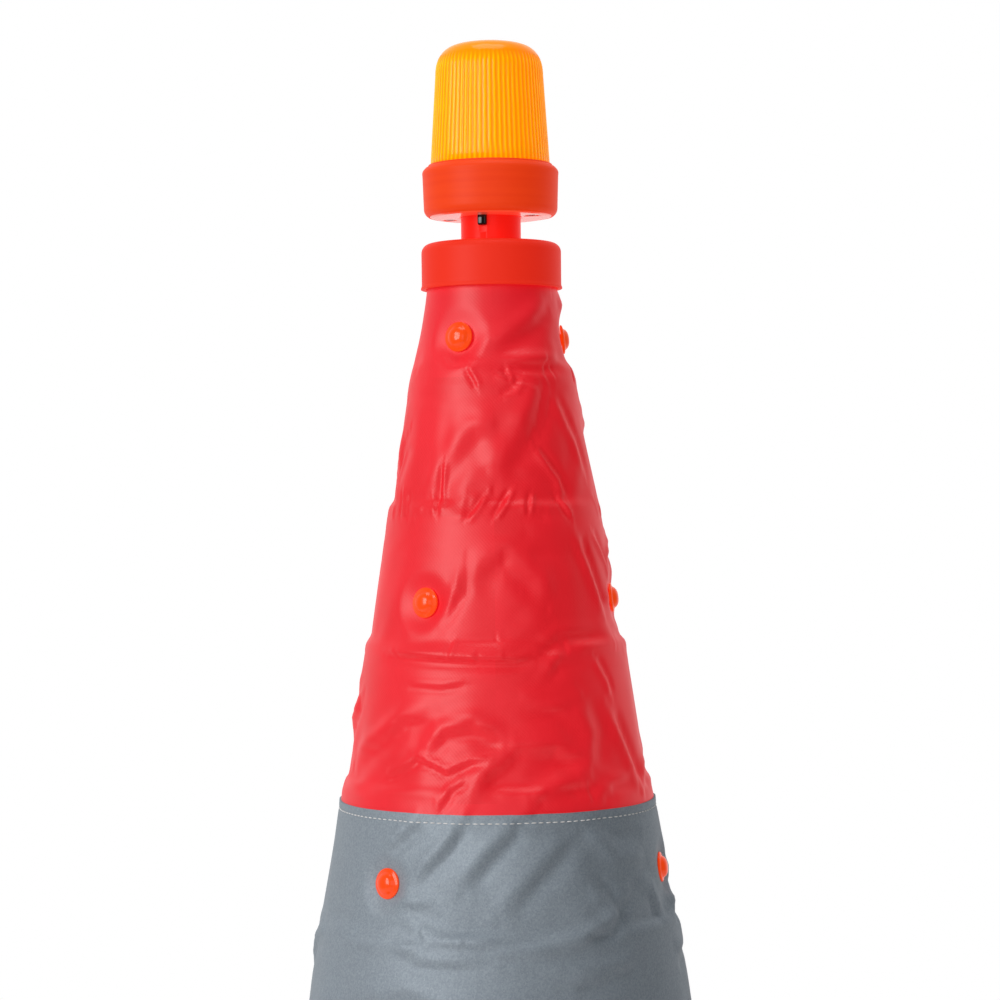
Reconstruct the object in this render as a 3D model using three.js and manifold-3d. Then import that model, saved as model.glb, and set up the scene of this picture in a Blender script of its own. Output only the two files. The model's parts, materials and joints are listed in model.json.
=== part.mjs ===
// A collapsible traffic cone: tapered plastic rings that slide into one another, a fabric
// cover riveted to every second ring, a square base, and a flashing lamp that lifts out of
// the cap. Millimetres, +Z up, the front of the cone faces -Y.
import * as THREE from "three";
import { mergeVertices } from "three/addons/utils/BufferGeometryUtils.js";
import Module from "manifold-3d";

const wasm = await Module();
wasm.setup();

// Gap between pieces that touch on the real object.
const GAP = 0.3;
// How far a cutting shape runs past the face that it cuts.
const CUT_MARGIN = 1;

// Cone rings, numbered 1 to 7 from the top.
const RING_COUNT = 7;
const RING_PITCH = 67.6;
const RING_2_TOP_Z = 433;
const RING_2_TOP_RADIUS = 40;
const RING_RADIUS_STEP = 11.9;
const RING_WALL = 1.8;
const FLANGE_WIDTH = 2.4;
const FLANGE_HEIGHT = 2.5;
const LIP_HEIGHT = 2.2;
const LIP_CLEARANCE = 0.6;
const RING_SEGMENTS = 36;
const WALL_SLOPE = (RING_RADIUS_STEP - RING_WALL - GAP - FLANGE_WIDTH) / RING_PITCH;

// Push rivets: one row of three on rings 1, 3, 5 and 7. The rings sit a little twisted on one
// another, so each row has its own turn about the axis.
const RIVET_ANGLES = [-120, 0, 120];
const RIVET_ROWS = [
  { ring: 1, z: 452.5, turn: 3 },
  { ring: 3, z: 323.5, turn: -5 },
  { ring: 5, z: 190.5, turn: -10 },
  { ring: 7, z: 56, turn: -6 },
];
const RIVET_HEAD_RADIUS = 7.35;
const RIVET_HEAD_HEIGHT = 4.2;
const RIVET_RIM_HEIGHT = 1.1;
const RIVET_SHANK_RADIUS = 3;
const RIVET_TIP_RADIUS = 1.8;
const RIVET_BARB_RADIUS = 3.9;
const RIVET_BARB_HEIGHT = 2.4;
const RIVET_SEGMENTS = 10;
const RIVET_DOME_STEPS = 3;
const RIVET_HOLE_RADIUS = RIVET_SHANK_RADIUS + 1.5 * GAP;
const RIVET_HOLE_SIDES = 8;
const RIVET_HOLE_INWARD = 5;
const RIVET_HOLE_OUTWARD = 8;
const NOTCH_WIDTH = 18;
const NOTCH_DEPTH = 11;
const NOTCH_INWARD = 12;
const NOTCH_OUTWARD = 5;

// Fabric cover.
const FABRIC = 0.7;
const COVER_TOP_Z = 496;
const BAND_TOP_Z = 225;
const BAND_BOTTOM_Z = 95;
const COVER_BOTTOM_Z = 27;
const COVER_LINE_END_Z = 25;
const RIVET_DIMPLE_MARGIN = 1;
const LINE_TOLERANCE = 0.5;

// Base.
const FOOT_HEIGHT = 4;
const FOOT_RADIUS = 13;
const FOOT_STEM_RADIUS = 4;
const FOOT_STEM_TOP_Z = 12;
const FOOT_OFFSET = 115;
const FOOT_SEGMENTS = 12;
const BASE_SIDE = 280;
const BASE_CORNER = 28;
const BASE_BEVEL = 3;
const BASE_BEVEL_STEPS = 2;
const BASE_CORNER_STEPS = 4;
const BASE_BOTTOM_Z = FOOT_HEIGHT + GAP;
const BASE_TOP_Z = 22;
const COLLAR_FLANGE_INNER = 97.9;
const COLLAR_SCREW_CIRCLE = 101.4;
const COLLAR_SCREW_ANGLES = [45, 135, 225, 315];
const SCREW_SIDES = 8;
const SCREW_SHANK_RADIUS = 1.8;
const SCREW_HEAD_RADIUS = 3.2;
const SCREW_HEAD_HEIGHT = 2;
const COLLAR_SCREW_TIP_Z = 11;

// Cap with the lamp's socket.
const CAP_RADIUS = 34.7;
const CAP_LIP_RADIUS = 35.4;
const CAP_LIP_HEIGHT = 1.2;
const CAP_WALL = 2;
const CAP_TOP_Z = 501;
const CAP_TOP_THICKNESS = 2.6;
const CAP_BOTTOM_Z = 479.5;
const CAP_EDGE = 4.5;
const CAP_EDGE_STEPS = 3;
const SOCKET_RADIUS = 15.3;
const SOCKET_WALL = 1.8;
const SOCKET_BOTTOM_Z = 443.8;
const SOCKET_LEDGE_HEIGHT = 2.2;
const SOCKET_LEDGE_RADIUS = 12;

// Lamp.
const LAMP_SEGMENTS = 30;
const TUBE_RADIUS = 14.95;
const TUBE_WALL = 1.7;
const TUBE_BOTTOM_Z = 448.7;
const TUBE_FLANGE_RADIUS = 19;
const TUBE_FLANGE_THICKNESS = 2;
const HOUSING_RADIUS = 34;
const HOUSING_FOOT_RADIUS = 33.4;
const HOUSING_WALL = 1.8;
const HOUSING_BOTTOM_Z = 514;
const HOUSING_EDGE = 4.5;
const HOUSING_SHOULDER_Z = 536.5;
const HOUSING_TOP_Z = 540.2;
const HOUSING_EDGE_STEPS = 3;
const HOUSING_SHOULDER_BULGE = 0.9;
const HOUSING_SHOULDER_DROP = 1.2;
const HOUSING_INNER_RISE = 0.6;
const HOUSING_BASE_RADIUS = 28.2;
const HOUSING_BASE_THICKNESS = 2;
const HOUSING_SCREW_CIRCLE = 22.6;
const HOUSING_SCREW_ANGLES = [155, -25];
const HOUSING_SCREW_RADIUS = 1.5;
const HOUSING_SCREW_HEAD_HEIGHT = 0.7;
const HOUSING_SCREW_RECESS = 1;
const HOUSING_SCREW_LENGTH = 10;
const CHASSIS_RADIUS = 31;
const CHASSIS_BOTTOM_Z = 531;
const CHASSIS_THICKNESS = 2;
const CHASSIS_HOLE_RADIUS = 6;
const POST_RADIUS = 3.6;
const POST_HOLE_DEPTH = 12;
const GASKET_THICKNESS = 1.2;
const LENS_FOOT_RADIUS = 29.9;
const LENS_SHOULDER_RADIUS = 27;
const LENS_SHOULDER_Z = 585;
const LENS_TOP_Z = 601;
const LENS_WALL = 2;
const LENS_CROWN_STEPS = 5;
const LENS_CROWN_END = 84;
const LENS_CROWN_FULLNESS = 0.5;
const LENS_CROWN_LIFT = 0.9;
const LENS_FLANGE_RADIUS = 31.4;
const LENS_FLANGE_THICKNESS = 1.5;
const BOARD_RADIUS = 24;
const BOARD_THICKNESS = 1.6;
const LED_RADIUS = 2.5;
const LED_HEIGHT = 8;
const LED_CIRCLE = 8;
const LED_COUNT = 4;
const LED_SEGMENTS = 8;
const REFLECTOR_INNER = 13;
const REFLECTOR_OUTER = 22.5;
const REFLECTOR_HEIGHT = 12;
const REFLECTOR_FOOT_WIDTH = 1.2;
const REFLECTOR_RIM_WIDTH = 1;
const BATTERY_RADIUS = 5.25;
const BATTERY_LENGTH = 44.5;
const BATTERY_SPACING = 11.2;
const BATTERY_BOTTOM_Z = 457;
const BATTERY_SEGMENTS = 14;
const TERMINAL_RADIUS = 1.9;
const TERMINAL_HEIGHT = 1.2;
const CONTACT_WIDTH = 6;
const CONTACT_THICKNESS = 0.6;
const DOOR_THICKNESS = 2;

// Slide switch in the lamp's neck.
const SWITCH_ANGLE = -105.5;
const KNOB_WIDTH = 4.4;
const KNOB_HEIGHT = 7.2;
const KNOB_TOP_Z = 516.2;
const KNOB_TRAVEL = 3.5;
const KNOB_OUTER_RADIUS = 17.4;
const SWITCH_INNER_RADIUS = 7.5;
const SWITCH_OUTER_RADIUS = 12;
const SWITCH_WIDTH = 8;
const SWITCH_MARGIN = 1;
const SLOT_INNER_RADIUS = 10;
const SLOT_OUTER_RADIUS = 17;

const CONE_ORANGE = { color: 0xe8402a, roughness: 0.45, metalness: 0 };
const RING_GREY = { color: 0x3a3d40, roughness: 0.6, metalness: 0 };
const RIVET_ORANGE = { color: 0xee5519, roughness: 0.35, metalness: 0 };
const FABRIC_RED = { color: 0xeb3d46, roughness: 0.7, metalness: 0 };
const REFLECTIVE_GREY = { color: 0x8a949e, roughness: 0.5, metalness: 0 };
const BLACK_PLASTIC = { color: 0x1c1d1f, roughness: 0.7, metalness: 0 };
const BLACK_GLOSS = { color: 0x0b0b0c, roughness: 0.15, metalness: 0 };
const RUBBER = { color: 0x151515, roughness: 0.9, metalness: 0 };
const STEEL = { color: 0xb8bcc0, roughness: 0.35, metalness: 1 };
const AMBER = { color: 0xf8a80c, roughness: 0.2, metalness: 0 };
const HOUSING_ORANGE = { color: 0xee5524, roughness: 0.4, metalness: 0 };
const NECK_RED = { color: 0xe41b1c, roughness: 0.4, metalness: 0 };
const BOARD_GREEN = { color: 0x1f6b3a, roughness: 0.6, metalness: 0 };
const LED_CLEAR = { color: 0xffd27a, roughness: 0.1, metalness: 0 };
const MIRROR = { color: 0xd8dadc, roughness: 0.08, metalness: 1 };
const BATTERY_BLUE = { color: 0x2b4f8c, roughness: 0.4, metalness: 0 };
const BRASS = { color: 0xb99342, roughness: 0.35, metalness: 1 };

const radians = THREE.MathUtils.degToRad;

function closed(geometry) {
  geometry.deleteAttribute("normal");
  geometry.deleteAttribute("uv");
  return mergeVertices(geometry, 1e-4);
}

function toSolid(geometry) {
  const merged = closed(geometry.clone());
  const vertProperties = Float32Array.from(merged.attributes.position.array);
  const triVerts = Uint32Array.from(merged.index.array);
  return new wasm.Manifold(new wasm.Mesh({ numProp: 3, vertProperties, triVerts }));
}

function fromSolid(solid) {
  const mesh = solid.getMesh();
  const geometry = new THREE.BufferGeometry();
  geometry.setAttribute("position", new THREE.BufferAttribute(mesh.vertProperties, 3));
  geometry.setIndex(new THREE.BufferAttribute(mesh.triVerts, 1));
  return geometry;
}

function cut(geometry, cutters) {
  let solid = toSolid(geometry);
  for (const cutter of cutters) {
    solid = solid.subtract(toSolid(cutter));
  }
  return fromSolid(solid);
}

function join(geometries) {
  let solid = toSolid(geometries[0]);
  for (const geometry of geometries.slice(1)) {
    solid = solid.add(toSolid(geometry));
  }
  return fromSolid(solid);
}

// Turns an outline of [radius, z] points, listed anticlockwise, about the Z axis.
function turned(outline, segments) {
  const points = outline.map(([radius, z]) => new THREE.Vector2(radius, z));
  const onAxis = outline[0][0] === 0;
  if (!onAxis) {
    points.push(points[0].clone());
  }
  const geometry = new THREE.LatheGeometry(points, segments);
  geometry.rotateX(Math.PI / 2);
  return closed(geometry);
}

// Points of a quarter round between two angles, in degrees, about [radius, z].
function arc(radius, z, size, from, to, steps) {
  const points = [];
  for (let i = 0; i <= steps; i += 1) {
    const angle = radians(from + ((to - from) * i) / steps);
    points.push([radius + size * Math.cos(angle), z + size * Math.sin(angle)]);
  }
  return points;
}

function disc(radius, low, high, segments) {
  return turned([[0, low], [radius, low], [radius, high], [0, high]], segments);
}

function tube(inner, outer, low, high, segments) {
  return turned([[inner, low], [outer, low], [outer, high], [inner, high]], segments);
}

function polar(radius, degrees, z) {
  const angle = radians(degrees);
  return new THREE.Vector3(radius * Math.cos(angle), radius * Math.sin(angle), z);
}

// A box whose local X points outward at the given angle.
function radialBox(innerRadius, outerRadius, width, low, high, degrees) {
  const box = new THREE.BoxGeometry(outerRadius - innerRadius, width, high - low);
  box.translate((innerRadius + outerRadius) / 2, 0, (low + high) / 2);
  box.rotateZ(radians(degrees));
  return box;
}

const group = new THREE.Group();

function piece(name, geometry, finish) {
  const mesh = new THREE.Mesh(geometry, new THREE.MeshStandardMaterial(finish));
  mesh.name = name;
  group.add(mesh);
  return mesh;
}

const ringTopZ = (ring) => RING_2_TOP_Z - (ring - 2) * RING_PITCH;
const ringTopRadius = (ring) => RING_2_TOP_RADIUS + (ring - 2) * RING_RADIUS_STEP;
const wallRadius = (ring, z) => ringTopRadius(ring) + WALL_SLOPE * (ringTopZ(ring) - z);

// Where a rivet's axis crosses the outside of the wall, and the wall's outward normal there.
function rivetSeat(row, degrees) {
  const position = polar(wallRadius(row.ring, row.z), degrees, row.z);
  const normal = polar(1, degrees, WALL_SLOPE).normalize();
  const turn = new THREE.Quaternion().setFromUnitVectors(new THREE.Vector3(0, 0, 1), normal);
  return { position, turn };
}

const rowAngles = (row) => RIVET_ANGLES.map((degrees) => degrees + row.turn);

function rivetHoles(rows) {
  const holes = [];
  for (const row of rows) {
    for (const degrees of rowAngles(row)) {
      const { position, turn } = rivetSeat(row, degrees);
      const hole = disc(RIVET_HOLE_RADIUS, -RIVET_HOLE_INWARD, RIVET_HOLE_OUTWARD, RIVET_HOLE_SIDES);
      hole.applyQuaternion(turn);
      hole.translate(position.x, position.y, position.z);
      holes.push(hole);
    }
  }
  return holes;
}

// Gaps in a ring's top edge that let the rivet heads of the ring above slide past.
function rivetNotches(ring) {
  const row = RIVET_ROWS.find((candidate) => candidate.ring === ring - 1);
  if (!row) {
    return [];
  }
  const top = ringTopZ(ring);
  const inner = ringTopRadius(ring) - NOTCH_INWARD;
  const outer = ringTopRadius(ring) + NOTCH_OUTWARD;
  return rowAngles(row).map((degrees) =>
    radialBox(inner, outer, NOTCH_WIDTH, top - NOTCH_DEPTH, top + CUT_MARGIN, degrees),
  );
}

// A ring's top edge with its inner lip; the first ring is trimmed to fit under the cap's top.
function ringTopOutline(ring) {
  const top = Math.min(ringTopZ(ring), CAP_TOP_Z - CAP_TOP_THICKNESS - GAP);
  const lipBottom = top - LIP_HEIGHT;
  const outer = wallRadius(ring, top);
  const lipRadius = outer - RING_WALL - GAP - FLANGE_WIDTH + LIP_CLEARANCE;
  const inner = wallRadius(ring, lipBottom) - RING_WALL;
  return [[outer, top], [lipRadius, top], [lipRadius, lipBottom], [inner, lipBottom]];
}

function slidingRing(ring) {
  const bottom = ringTopZ(ring + 1) - LIP_HEIGHT - GAP - FLANGE_HEIGHT;
  const flangeTop = bottom + FLANGE_HEIGHT;
  const flangeRadius = wallRadius(ring, ringTopZ(ring + 1)) + FLANGE_WIDTH;
  const outline = [
    [wallRadius(ring, bottom) - RING_WALL, bottom],
    [flangeRadius, bottom],
    [flangeRadius, flangeTop],
    [wallRadius(ring, flangeTop), flangeTop],
    ...ringTopOutline(ring),
  ];
  const rows = RIVET_ROWS.filter((row) => row.ring === ring);
  return cut(turned(outline, RING_SEGMENTS), [...rivetHoles(rows), ...rivetNotches(ring)]);
}

function baseCollar() {
  const bottom = BASE_TOP_Z + GAP;
  const flangeTop = bottom + FLANGE_HEIGHT;
  const outline = [
    [COLLAR_FLANGE_INNER, bottom],
    [wallRadius(RING_COUNT, bottom), bottom],
    ...ringTopOutline(RING_COUNT),
    [wallRadius(RING_COUNT, flangeTop) - RING_WALL, flangeTop],
    [COLLAR_FLANGE_INNER, flangeTop],
  ];
  const rows = RIVET_ROWS.filter((row) => row.ring === RING_COUNT);
  const cutters = rivetHoles(rows);
  for (const degrees of COLLAR_SCREW_ANGLES) {
    const spot = polar(COLLAR_SCREW_CIRCLE, degrees, 0);
    const hole = disc(SCREW_SHANK_RADIUS + GAP, bottom - CUT_MARGIN, flangeTop + CUT_MARGIN,
      SCREW_SIDES);
    cutters.push(hole.translate(spot.x, spot.y, 0));
  }
  return cut(turned(outline, RING_SEGMENTS), cutters);
}

function coneRings() {
  for (let ring = 1; ring < RING_COUNT; ring += 1) {
    piece(`cone_ring_${ring}`, slidingRing(ring), RING_GREY);
  }
  piece("base_collar", baseCollar(), RING_GREY);
}

function rivetShape() {
  const under = 2 * GAP + FABRIC;
  const rimTop = under + RIVET_RIM_HEIGHT;
  const top = under + RIVET_HEAD_HEIGHT;
  const barbTop = -RING_WALL - 2 * GAP;
  const dome = [];
  for (let i = 1; i < RIVET_DOME_STEPS; i += 1) {
    const part = radians((90 * i) / RIVET_DOME_STEPS);
    dome.push([RIVET_HEAD_RADIUS * Math.cos(part), rimTop + (top - rimTop) * Math.sin(part)]);
  }
  const outline = [
    [0, barbTop - RIVET_BARB_HEIGHT],
    [RIVET_TIP_RADIUS, barbTop - RIVET_BARB_HEIGHT],
    [RIVET_BARB_RADIUS, barbTop],
    [RIVET_SHANK_RADIUS, barbTop],
    [RIVET_SHANK_RADIUS, under],
    [RIVET_HEAD_RADIUS, under],
    [RIVET_HEAD_RADIUS, rimTop],
    ...dome,
    [0, top],
  ];
  return turned(outline, RIVET_SEGMENTS);
}

function rivets() {
  RIVET_ROWS.forEach((row, rowIndex) => {
    rowAngles(row).forEach((degrees, index) => {
      const { position, turn } = rivetSeat(row, degrees);
      const rivet = piece(`rivet_row${rowIndex + 1}_${index + 1}`, rivetShape(), RIVET_ORANGE);
      rivet.position.copy(position);
      rivet.quaternion.copy(turn);
    });
  });
}

// The inside line of the fabric, from high to low: over each ring's top edge, then down.
// On riveted rings it follows the wall past the rivets before it reaches out to the next ring.
function fabricLine(high, low) {
  const points = [];
  for (let ring = 1; ring <= RING_COUNT; ring += 1) {
    points.push([ringTopRadius(ring) + GAP, ringTopZ(ring)]);
    const row = RIVET_ROWS.find((candidate) => candidate.ring === ring);
    if (row) {
      const z = row.z - RIVET_HEAD_RADIUS - RIVET_DIMPLE_MARGIN;
      points.push([wallRadius(ring, z) + GAP, z]);
    }
  }
  points.push([wallRadius(RING_COUNT, COVER_LINE_END_Z) + GAP, COVER_LINE_END_Z]);
  const at = (z) => {
    const next = points.findIndex((point) => point[1] < z);
    const [r0, z0] = points[next - 1];
    const [r1, z1] = points[next];
    return [r0 + ((r1 - r0) * (z0 - z)) / (z0 - z1), z];
  };
  const isBetween = ([, z]) => z < high - LINE_TOLERANCE && z > low + LINE_TOLERANCE;
  const middle = points.filter(isBetween);
  return [at(high), ...middle, at(low)];
}

function fabricTube(high, low) {
  const inside = fabricLine(high, low);
  const outside = inside.map(([radius, z]) => [radius + FABRIC, z]);
  const outline = [...inside.reverse().slice(0, 1), ...outside.reverse()];
  outline.push(...inside.reverse().slice(0, -1));
  const rows = RIVET_ROWS.filter((row) => row.z > low && row.z < high);
  return cut(turned(outline, RING_SEGMENTS), rivetHoles(rows));
}

function cover() {
  piece("cover_upper", fabricTube(COVER_TOP_Z, BAND_TOP_Z), FABRIC_RED);
  piece("reflective_band", fabricTube(BAND_TOP_Z - GAP, BAND_BOTTOM_Z + GAP), REFLECTIVE_GREY);
  piece("cover_lower", fabricTube(BAND_BOTTOM_Z, COVER_BOTTOM_Z), FABRIC_RED);
}

function basePlate() {
  const half = BASE_SIDE / 2 - BASE_BEVEL;
  const corner = BASE_CORNER - BASE_BEVEL;
  const shape = new THREE.Shape();
  shape.absarc(half - corner, half - corner, corner, 0, Math.PI / 2);
  shape.absarc(corner - half, half - corner, corner, Math.PI / 2, Math.PI);
  shape.absarc(corner - half, corner - half, corner, Math.PI, 1.5 * Math.PI);
  shape.absarc(half - corner, corner - half, corner, 1.5 * Math.PI, 2 * Math.PI);
  const plate = new THREE.ExtrudeGeometry(shape, {
    depth: BASE_TOP_Z - BASE_BOTTOM_Z - 2 * BASE_BEVEL,
    curveSegments: BASE_CORNER_STEPS,
    bevelThickness: BASE_BEVEL,
    bevelSize: BASE_BEVEL,
    bevelSegments: BASE_BEVEL_STEPS,
  });
  plate.translate(0, 0, BASE_BOTTOM_Z + BASE_BEVEL);
  const cutters = [];
  for (const degrees of COLLAR_SCREW_ANGLES) {
    const spot = polar(COLLAR_SCREW_CIRCLE, degrees, 0);
    const hole = disc(SCREW_SHANK_RADIUS + GAP, COLLAR_SCREW_TIP_Z - GAP,
      BASE_TOP_Z + CUT_MARGIN, SCREW_SIDES);
    cutters.push(hole.translate(spot.x, spot.y, 0));
    const foot = footPlace(degrees);
    const socket = disc(FOOT_STEM_RADIUS + GAP, BASE_BOTTOM_Z - CUT_MARGIN, FOOT_STEM_TOP_Z + GAP,
      FOOT_SEGMENTS);
    cutters.push(socket.translate(foot.x, foot.y, 0));
  }
  return cut(plate, cutters);
}

const footPlace = (degrees) => polar(FOOT_OFFSET * Math.SQRT2, degrees, 0);

function footShape() {
  const outline = [
    [0, 0],
    [FOOT_RADIUS, 0],
    [FOOT_RADIUS, FOOT_HEIGHT],
    [FOOT_STEM_RADIUS, FOOT_HEIGHT],
    [FOOT_STEM_RADIUS, FOOT_STEM_TOP_Z],
    [0, FOOT_STEM_TOP_Z],
  ];
  return turned(outline, FOOT_SEGMENTS);
}

function screwShape(shankRadius, tipZ, headZ, headHeight) {
  const up = Math.sign(headZ - tipZ);
  const outline = [
    [0, tipZ],
    [shankRadius, tipZ],
    [shankRadius, headZ],
    [SCREW_HEAD_RADIUS, headZ],
    [SCREW_HEAD_RADIUS, headZ + up * headHeight],
    [0, headZ + up * headHeight],
  ];
  return turned(up > 0 ? outline : outline.reverse(), SCREW_SIDES);
}

function base() {
  piece("base_plate", basePlate(), BLACK_PLASTIC);
  const headZ = BASE_TOP_Z + FLANGE_HEIGHT + 2 * GAP;
  COLLAR_SCREW_ANGLES.forEach((degrees, index) => {
    const foot = piece(`foot_${index + 1}`, footShape(), RUBBER);
    foot.position.copy(footPlace(degrees));
    const shape = screwShape(SCREW_SHANK_RADIUS, COLLAR_SCREW_TIP_Z, headZ, SCREW_HEAD_HEIGHT);
    const screw = piece(`collar_screw_${index + 1}`, shape, STEEL);
    screw.position.copy(polar(COLLAR_SCREW_CIRCLE, degrees, 0));
  });
}

function cap() {
  const inner = CAP_RADIUS - CAP_WALL;
  const under = CAP_TOP_Z - CAP_TOP_THICKNESS;
  const socketOuter = SOCKET_RADIUS + SOCKET_WALL;
  const ledgeTop = SOCKET_BOTTOM_Z + SOCKET_LEDGE_HEIGHT;
  const edge = CAP_EDGE - CAP_WALL;
  const outline = [
    [SOCKET_LEDGE_RADIUS, SOCKET_BOTTOM_Z],
    [socketOuter, SOCKET_BOTTOM_Z],
    [socketOuter, under],
    ...arc(inner - edge, under - edge, edge, 90, 0, 1),
    [inner, CAP_BOTTOM_Z],
    [CAP_LIP_RADIUS, CAP_BOTTOM_Z],
    [CAP_LIP_RADIUS, CAP_BOTTOM_Z + CAP_LIP_HEIGHT / 2],
    [CAP_RADIUS, CAP_BOTTOM_Z + CAP_LIP_HEIGHT],
    ...arc(CAP_RADIUS - CAP_EDGE, CAP_TOP_Z - CAP_EDGE, CAP_EDGE, 0, 90, CAP_EDGE_STEPS),
    [SOCKET_RADIUS, CAP_TOP_Z],
    [SOCKET_RADIUS, ledgeTop],
    [SOCKET_LEDGE_RADIUS, ledgeTop],
  ];
  piece("top_cap", turned(outline, RING_SEGMENTS), CONE_ORANGE);
}

function lens() {
  const flangeBottom = CHASSIS_BOTTOM_Z + CHASSIS_THICKNESS + GASKET_THICKNESS + 2 * GAP;
  const flangeTop = flangeBottom + LENS_FLANGE_THICKNESS;
  const rise = LENS_TOP_Z - LENS_SHOULDER_Z;
  const crown = (radius, height) => {
    const points = [];
    for (let i = 0; i <= LENS_CROWN_STEPS; i += 1) {
      const angle = radians((LENS_CROWN_END * i) / LENS_CROWN_STEPS);
      const reach = Math.cos(angle) ** LENS_CROWN_FULLNESS;
      const lift = Math.sin(angle) ** LENS_CROWN_LIFT;
      points.push([radius * reach, LENS_SHOULDER_Z + height * lift]);
    }
    return points;
  };
  const outer = crown(LENS_SHOULDER_RADIUS, rise);
  const inner = crown(LENS_SHOULDER_RADIUS - LENS_WALL, rise - LENS_WALL).reverse();
  const outline = [
    [0, LENS_TOP_Z - LENS_WALL],
    ...inner,
    [LENS_FOOT_RADIUS - LENS_WALL, flangeTop],
    [LENS_FOOT_RADIUS - LENS_WALL, flangeBottom],
    [LENS_FLANGE_RADIUS, flangeBottom],
    [LENS_FLANGE_RADIUS, flangeTop],
    [LENS_FOOT_RADIUS, flangeTop],
    ...outer,
    [0, LENS_TOP_Z],
  ];
  piece("lens", turned(outline, LAMP_SEGMENTS), AMBER);
  const gasketBottom = flangeBottom - GAP - GASKET_THICKNESS;
  const gasket = tube(LENS_FOOT_RADIUS - LENS_WALL, CHASSIS_RADIUS, gasketBottom,
    flangeBottom - GAP, LAMP_SEGMENTS);
  piece("lens_gasket", gasket, RUBBER);
}

function housing() {
  const mouth = LENS_FOOT_RADIUS + GAP;
  const foot = HOUSING_BASE_RADIUS + GAP;
  const outline = [
    [foot, HOUSING_BOTTOM_Z],
    ...arc(HOUSING_FOOT_RADIUS - HOUSING_EDGE, HOUSING_BOTTOM_Z + HOUSING_EDGE, HOUSING_EDGE,
      -90, 0, HOUSING_EDGE_STEPS),
    [HOUSING_RADIUS, HOUSING_SHOULDER_Z],
    [(HOUSING_RADIUS + mouth) / 2 + HOUSING_SHOULDER_BULGE, HOUSING_TOP_Z - HOUSING_SHOULDER_DROP],
    [mouth, HOUSING_TOP_Z],
    [mouth, HOUSING_TOP_Z - HOUSING_WALL],
    [HOUSING_RADIUS - HOUSING_WALL, HOUSING_SHOULDER_Z + HOUSING_INNER_RISE],
    [HOUSING_RADIUS - HOUSING_WALL, HOUSING_BOTTOM_Z + HOUSING_EDGE],
    [foot, HOUSING_BOTTOM_Z + HOUSING_BASE_THICKNESS],
  ];
  piece("lamp_housing", turned(outline, LAMP_SEGMENTS), HOUSING_ORANGE);
}

function housingScrewHoles(radius, low, high) {
  return HOUSING_SCREW_ANGLES.map((degrees) => {
    const spot = polar(HOUSING_SCREW_CIRCLE, degrees, 0);
    return disc(radius, low, high, SCREW_SIDES).translate(spot.x, spot.y, 0);
  });
}

function housingBase() {
  const top = HOUSING_BOTTOM_Z + HOUSING_BASE_THICKNESS;
  const plate = tube(TUBE_RADIUS + GAP, HOUSING_BASE_RADIUS, HOUSING_BOTTOM_Z, top, LAMP_SEGMENTS);
  const below = HOUSING_BOTTOM_Z - CUT_MARGIN;
  const above = top + CUT_MARGIN;
  const recessTop = HOUSING_BOTTOM_Z + HOUSING_SCREW_RECESS;
  const holes = housingScrewHoles(SCREW_SHANK_RADIUS + GAP, below, above);
  const recesses = housingScrewHoles(SCREW_HEAD_RADIUS + GAP, below, recessTop);
  const knobNotch = radialBox(TUBE_RADIUS - CUT_MARGIN, KNOB_OUTER_RADIUS + 2 * GAP,
    KNOB_WIDTH + 2 * GAP, below, above, SWITCH_ANGLE);
  piece("housing_base", cut(plate, [...holes, ...recesses, knobNotch]), HOUSING_ORANGE);
  HOUSING_SCREW_ANGLES.forEach((degrees, index) => {
    const shape = screwShape(HOUSING_SCREW_RADIUS, top + HOUSING_SCREW_LENGTH, recessTop - GAP,
      HOUSING_SCREW_HEAD_HEIGHT);
    const screw = piece(`housing_screw_${index + 1}`, shape, STEEL);
    screw.position.copy(polar(HOUSING_SCREW_CIRCLE, degrees, 0));
  });
}

function chassis() {
  const top = CHASSIS_BOTTOM_Z + CHASSIS_THICKNESS;
  const postBottom = HOUSING_BOTTOM_Z + HOUSING_BASE_THICKNESS + GAP;
  const plate = tube(CHASSIS_HOLE_RADIUS, CHASSIS_RADIUS, CHASSIS_BOTTOM_Z, top, LAMP_SEGMENTS);
  const posts = housingScrewHoles(POST_RADIUS, postBottom, CHASSIS_BOTTOM_Z + CUT_MARGIN);
  const bores = housingScrewHoles(SCREW_SHANK_RADIUS, postBottom - CUT_MARGIN,
    postBottom + POST_HOLE_DEPTH);
  piece("lamp_chassis", cut(join([plate, ...posts]), bores), BLACK_PLASTIC);
}

function lights() {
  const boardBottom = CHASSIS_BOTTOM_Z + CHASSIS_THICKNESS + GAP;
  const boardTop = boardBottom + BOARD_THICKNESS;
  piece("circuit_board", disc(BOARD_RADIUS, boardBottom, boardTop, LAMP_SEGMENTS), BOARD_GREEN);
  for (let i = 0; i < LED_COUNT; i += 1) {
    const domeZ = LED_HEIGHT - LED_RADIUS;
    const outline = [[0, 0], [LED_RADIUS, 0], ...arc(0, domeZ, LED_RADIUS, 0, 90, 2)];
    outline[outline.length - 1][0] = 0;
    const led = piece(`led_${i + 1}`, turned(outline, LED_SEGMENTS), LED_CLEAR);
    led.position.copy(polar(LED_CIRCLE, ((i + 0.5) * 360) / LED_COUNT, boardTop + GAP));
  }
  const foot = boardTop + GAP;
  const outline = [
    [REFLECTOR_INNER, foot],
    [REFLECTOR_INNER + REFLECTOR_FOOT_WIDTH, foot],
    [REFLECTOR_OUTER, foot + REFLECTOR_HEIGHT],
    [REFLECTOR_OUTER - REFLECTOR_RIM_WIDTH, foot + REFLECTOR_HEIGHT],
  ];
  piece("reflector", turned(outline, LAMP_SEGMENTS), MIRROR);
}

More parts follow.
